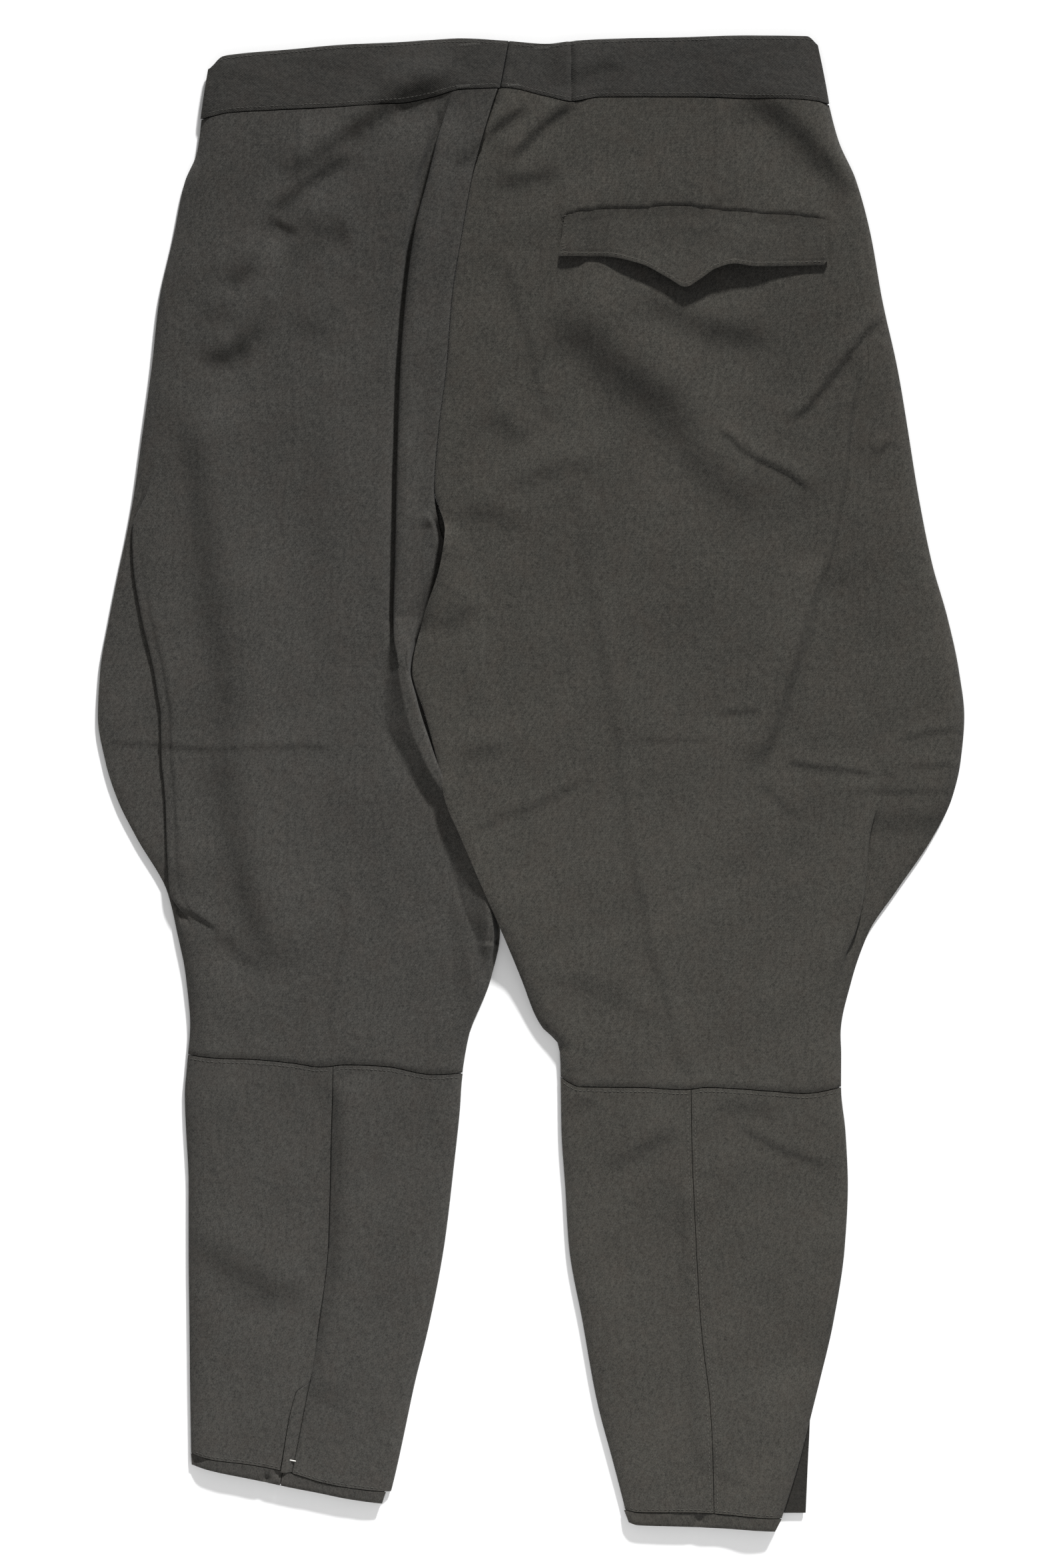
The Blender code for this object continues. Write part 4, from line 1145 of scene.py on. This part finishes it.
share = np.linspace(0, 1, 60)[:, None]
across = np.linspace(0, 1, 200)[None, :]
across = blend(22 - 4.2 * share, 195.5 - 2.5 * ease(share, 0.86, 1) ** 2, across)
down = blend(smooth(FLAP, "top", across), smooth(FLAP, "edge", across), share)
across, down, share = np.broadcast_arrays(across, down, share)
flap = place(across, down, flap_height(across, down, share))
panel("hip_pocket_flap", "pocket_flap", flap, FLAP_WALL, FLAP_CLOTH)

# %% [markdown]
# ## The cut
#
# Every panel is a sheet that was cut flat before it was sewn. Its flat size is its width and
# length along the cloth, over the folds, and its area is less than the rectangle because the
# edges curve. A maker adds a centimetre all round for the seams. The waistband and the flap are
# cut double and folded: the sizes here are of the folded piece.

FRONTS = {"left": ["front_thigh_left", "front_calf_left"],
          "right": ["front_thigh_right", "front_calf_right"]}
SHEETS = (
    # piece, width and length in metres, area, what it lies on, narrow pieces sewn to it
    ("back_thigh_left", 0.282, 0.674, 0.150, FRONTS["left"] + ["fly_strip"], []),
    ("back_thigh_right", 0.366, 0.687, 0.194, FRONTS["right"] + ["back_thigh_left"], []),
    ("back_calf_left_outer", 0.099, 0.273, 0.0233, ["front_calf_left"], ["back_hem_left_outer"]),
    ("back_calf_left_inner", 0.087, 0.281, 0.0212, ["front_calf_left"], ["back_hem_left_inner"]),
    ("back_calf_right_inner", 0.089, 0.290, 0.0222, ["front_calf_right"], ["back_hem_right"]),
    ("back_calf_right_outer", 0.104, 0.290, 0.0239, ["front_calf_right"], []),
    ("front_thigh_left", 0.254, 0.688, 0.1265, ["floor"], []),
    ("front_thigh_right", 0.361, 0.682, 0.188, ["floor"], []),
    ("front_calf_left", 0.181, 0.280, 0.0437, ["floor"], ["front_hem_left"]),
    ("front_calf_right", 0.187, 0.290, 0.0452, ["floor"], ["front_hem_right"]),
    ("back_waistband_left", 0.203, 0.044, 0.0078, ["front_waistband_left"], []),
    ("back_waistband_right", 0.222, 0.045, 0.0084, ["front_waistband_right"], []),
    ("front_waistband_left", 0.200, 0.042, 0.0075, ["floor"], []),
    ("front_waistband_right", 0.220, 0.044, 0.0083, ["floor"], []),
    ("fly_strip", 0.036, 0.197, 0.0068, ["floor"], []),
    ("vent_underlap", 0.014, 0.065, 0.00085, ["front_calf_left"], []),
    ("vent_placket", 0.024, 0.069, 0.0016, ["front_calf_right"], []),
    ("hip_pocket_flap", 0.186, 0.055, 0.0066, ["back_thigh_right"], []),
)
for name, width, length, area, below, narrow in SHEETS:
    [CLOTHES[piece] for piece in narrow]
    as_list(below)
print(len(SHEETS), "sheets,", round(sum(row[3] for row in SHEETS), 3), "square metres of cloth")

# %% [markdown]
# ## Stitches
#
# Most seams that show are topstitched: a row of thread a few millimetres beside them. Each stitch
# is a small piece of thread that comes up out of the cloth and goes down again, so it is built as
# a short, slightly arched tube, and a ray cast from above finds the cloth that it lies on. The
# rows are not machine perfect: each stitch is turned and shifted by a little.

# %% Rows of stitches
THREAD = Finish("thread")
ply = THREAD.noise(THREAD.node("TexCoord", {}, {}, 3), 2500.0)
pale_thread, dark_thread = (0.088, 0.085, 0.076, 1.0), (0.040, 0.038, 0.034, 1.0)
THREAD.put(THREAD.surface.inputs["Base Color"], THREAD.mix(ply, dark_thread, pale_thread))
THREAD.surface.inputs["Roughness"].default_value = 0.8
WHITE = Finish("white_thread")
white_ply = WHITE.noise(WHITE.node("TexCoord", {}, {}, 3), 2500.0)
WHITE.put(WHITE.surface.inputs["Base Color"],
          WHITE.mix(white_ply, (0.5, 0.49, 0.45, 1.0), (0.8, 0.79, 0.75, 1.0)))
WHITE.surface.inputs["Roughness"].default_value = 0.8
RING = np.array([(np.cos(a), np.sin(a)) for a in np.linspace(0, 2 * np.pi, 5, endpoint=False)])


def cloth_below(names):
    """A function that finds the height of the cloth, in millimetres, at a place."""
    trees = []
    for name in names:
        mesh = CLOTHES[name].data
        corners = [v.co for v in mesh.vertices]
        trees.append(BVHTree.FromPolygons(corners, [tuple(f.vertices) for f in mesh.polygons]))

    def height(across, down):
        start = Vector((across * MM, (TOP - down) * MM, 0.05))
        hits = [tree.ray_cast(start, Vector((0, 0, -1)))[0] for tree in trees]
        return max((hit.z / MM for hit in hits if hit), default=None)
    return height


def along(places, pitch):
    """Evenly spaced places on a line through a few places, each with the line's direction."""
    places = np.array(places, float)
    far = np.append(0, np.cumsum(np.hypot(*np.diff(places, axis=0).T)))
    at = np.arange(pitch / 2, far[-1], pitch)
    middle = np.stack([np.interp(at, far, places[:, i]) for i in (0, 1)], -1)
    ahead = np.stack([np.interp(at + 0.5, far, places[:, i]) for i in (0, 1)], -1)
    run = ahead - middle
    size = np.hypot(*run.T)
    keep = size > 0.05
    return middle[keep], (run / np.maximum(size, 0.01)[:, None])[keep]


def stitch_row(name, node, cloth, rows, pitch=2.8, long=2.0, thick=0.22, finish=THREAD):
    """Thread along one or more lines of places, on top of the named pieces of cloth."""
    height, rng = cloth_below(cloth), np.random.default_rng(len(name))
    points, faces = [], []
    for places in rows:
        for (x, d), (dx, dd) in zip(*along(places, pitch)):
            x, d = x + rng.normal(0, 0.08), d + rng.normal(0, 0.08)
            lean = rng.normal(0, 0.07)
            dx, dd = dx - lean * dd, dd + lean * dx
            levels = [height(x + dx * t, d + dd * t) for t in (-0.5 * long, 0.0, 0.5 * long)]
            if None in levels:
                continue
            first = len(points)
            for t, lift in ((-0.5, -0.1), (-0.3, 0.14), (0.3, 0.14), (0.5, -0.1)):
                z = np.interp(t, (-0.5, 0, 0.5), levels) + lift
                for side, up in RING * thick:
                    points.append(((x + dx * t * long - dd * side) * MM,
                                   (TOP - d - dd * t * long - dx * side) * MM, (z + up) * MM))
            for ring in range(3):
                for k in range(5):
                    a, b = first + ring * 5 + k, first + ring * 5 + (k + 1) % 5
                    faces.append((a, b, b + 5, a + 5))
            faces += [tuple(range(first + 4, first - 1, -1)), tuple(range(first + 15, first + 20))]
    mesh = bpy.data.meshes.new(name)
    mesh.from_pydata(points, [], faces)
    mesh.shade_smooth()
    mesh.materials.append(finish.material)
    piece = bpy.data.objects.new(name, mesh)
    bpy.context.scene.collection.objects.link(piece)
    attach(piece, "root")
    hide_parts(node)
    print(name, len(faces) // 17, "stitches")


def line(side_table, name, start, end, off, count=60):
    """Places along a table's line, moved down by some millimetres."""
    x = np.linspace(start, end, count)
    return np.stack([x, smooth(side_table, name, x) + off], -1)


def upright(side_table, name, start, end, off, count=60):
    """The same for a line that runs down the garment, moved across."""
    down = np.linspace(start, end, count)
    return np.stack([smooth(side_table, name, down) + off, down], -1)


ROWS = (
    # name, node, the cloth below, lines of places, half the thickness of the thread
    ("waistband_stitches_left", "waistband_back_left", ["back_waistband_left"],
     [line(WAIST, "seam", -214, -22.5, -2.8), line(WAIST, "top", -209, -17, 2.2)], 0.18),
    ("waistband_stitches_right", "waistband_back_right", ["back_waistband_right"],
     [line(WAIST, "seam", -17.5, 193.5, -2.8), line(WAIST, "top", -12, 187, 2.2)], 0.18),
    ("knee_stitches_left_outer", "calf_back_left_outer", ["back_calf_left_outer"],
     [line(SEAMS["left"], "knee", -226, -133, 2.5)], 0.22),
    ("knee_stitches_left_inner", "calf_back_left_inner", ["back_calf_left_inner"],
     [line(SEAMS["left"], "knee", -129, -48, 2.5)], 0.22),
    ("knee_stitches_right_inner", "calf_back_right_inner", ["back_calf_right_inner"],
     [line(SEAMS["right"], "knee", 21, 103, 2.5),
      upright(CALF_LINES, "right_seam", 700, 974, -2.4)], 0.22),
    ("knee_stitches_right_outer", "calf_back_right_outer", ["back_calf_right_outer"],
     [line(SEAMS["right"], "knee", 108, 203, 2.5),
      upright(CALF_LINES, "right_seam", 700, 974, 2.4)], 0.22),
    ("hem_stitches_left_outer", "calf_back_left_outer", ["back_calf_left_outer"],
     [line(SEAMS["left"], "hem", -222, -167, -2.2)], 0.18),
    ("hem_stitches_left_inner", "calf_back_left_inner", ["back_calf_left_inner"],
     [line(SEAMS["left"], "hem", -161, -99, -2.2)], 0.18),
    ("hem_stitches_right", "calf_back_right_inner",
     ["back_calf_right_inner", "back_calf_right_outer"],
     [line(SEAMS["right"], "hem", 65, 161, -2.2)], 0.18),
    ("flap_stitches", "pocket_flap", ["hip_pocket_flap"],
     [line(FLAP, "edge", 21, 192.5, -2.3, 120), [(193, 124), (193.2, 136), (193, 149)]], 0.18),
)
for name, node, cloth, rows, thick in ROWS:
    stitch_row(name, node, cloth, rows, thick=thick)
BARTACKS = (
    ((-47, 7), (-34, 6)), ((-49, 35), (-40.5, 34)), ((-15.5, 34), (-7.5, 33.5)), ((2, 9), (12, 8.5)),
)
tacks = []
for (x0, d0), (x1, d1) in BARTACKS:
    for x in np.arange(x0, x1, 0.8):
        down = blend(d0, d1, (x - x0) / (x1 - x0))
        tacks.append([(x, down - 1.0), (x + 0.3, down + 1.0)])
stitch_row("bartacks", "waistband_back_left", ["back_waistband_left", "back_waistband_right"],
           tacks, pitch=1.9, long=2.0, thick=0.2)
stitch_row("vent_tack", "calf_back_left_inner",
           ["back_calf_left_outer", "back_calf_left_inner", "vent_underlap"],
           [[(-159.2, 940.5), (-155.2, 941.8)]], pitch=4.0, long=4.0, thick=0.42, finish=WHITE)
overcast = [[(20.2 - 0.1 * i, 121 + 2.2 * i), (23.0 - 0.1 * i, 120.2 + 2.2 * i)] for i in range(12)]
stitch_row("flap_overcast", "pocket_flap", ["hip_pocket_flap", "back_thigh_right"], overcast,
           pitch=2.9, long=2.9, thick=0.2)

# %% [markdown]
# ## Camera, floor and light
#
# The garment lies on a pale floor and is photographed from straight above. A low lamp beyond
# the waist rakes across the cloth and draws every fold. In the photograph it stands so near that
# its shadows fan out, which a sun's do not, so there are two suns, a little apart in direction,
# and light linking gives each its own pieces. A pale sky fills the shadows.

# %% Camera, floor and lamps
CAMERA_UP, CLOTH_UP, FLOOR_UP = 2.4435, 0.007, -0.0004
SUN_STRENGTH, SUN_ANGLE = 5.6, 0.10
camera_data = bpy.data.cameras.new("camera")
camera_data.lens, camera_data.sensor_width = 85.0, 36.0
camera = bpy.data.objects.new("camera", camera_data)
camera.location = (-0.0057, -0.0001, CAMERA_UP + CLOTH_UP)
bpy.context.scene.collection.objects.link(camera)
bpy.context.scene.camera = camera

floor_mesh = bpy.data.meshes.new("floor")
corners = [(x, y, FLOOR_UP) for x, y in ((-6, -6), (6, -6), (6, 6), (-6, 6))]
floor_mesh.from_pydata(corners, [], [(0, 1, 2, 3)])
floor = bpy.data.objects.new("floor", floor_mesh)
bpy.context.scene.collection.objects.link(floor)
pale = Finish("floor")
speckle = pale.noise(pale.node("TexCoord", {}, {}, 3), 300.0)
floor_colour = pale.mix(speckle, (0.93, 0.93, 0.93, 1), (0.95, 0.95, 0.95, 1))
pale.put(pale.surface.inputs["Base Color"], floor_colour)
pale.surface.inputs["Roughness"].default_value = 0.9
floor_mesh.materials.append(pale.material)


def sun(name, towards, colour, lit):
    """A lamp like the sun, even and from one direction, that shines on some of the pieces."""
    data = bpy.data.lights.new(name, "SUN")
    data.energy, data.angle, data.color = SUN_STRENGTH, SUN_ANGLE, colour
    lamp = bpy.data.objects.new(name, data)
    lamp.rotation_euler = Vector(towards).to_track_quat("Z", "Y").to_euler()
    bpy.context.scene.collection.objects.link(lamp)
    group = bpy.data.collections.new("lit_by_" + name)
    for piece in lit:
        group.objects.link(piece)
    lamp.light_linking.receiver_collection = group


meshes = [piece for piece in bpy.context.scene.objects if piece.type == "MESH"]
right_leg = [piece for piece in meshes if "waistband" not in piece.name and (
    "right" in piece.name or "flap" in piece.name or piece.name == "vent_placket")]
sun("key", (0.38, 1.0, 0.48), (1.0, 1.0, 1.0), [piece for piece in meshes if piece not in right_leg])
sun("key_right", (0.09, 1.0, 0.46), (1.04, 1.02, 0.96), right_leg)
fill_data = bpy.data.lights.new("fill", "AREA")
fill_data.energy, fill_data.size = 6.0, 0.8
fill = bpy.data.objects.new("fill", fill_data)
fill.location = (0.0, -1.1, 0.9)
fill.rotation_euler = Vector((0.0, -0.75, 0.9)).to_track_quat("Z", "Y").to_euler()
bpy.context.scene.collection.objects.link(fill)

world = bpy.data.worlds.new("studio")
world.use_nodes = True
world.node_tree.nodes["Background"].inputs["Color"].default_value = (1.0, 1.0, 1.0, 1)
world.node_tree.nodes["Background"].inputs["Strength"].default_value = 0.36
bpy.context.scene.world = world
bpy.context.scene.view_settings.view_transform = "Standard"
print("camera", tuple(round(v, 3) for v in camera.location))
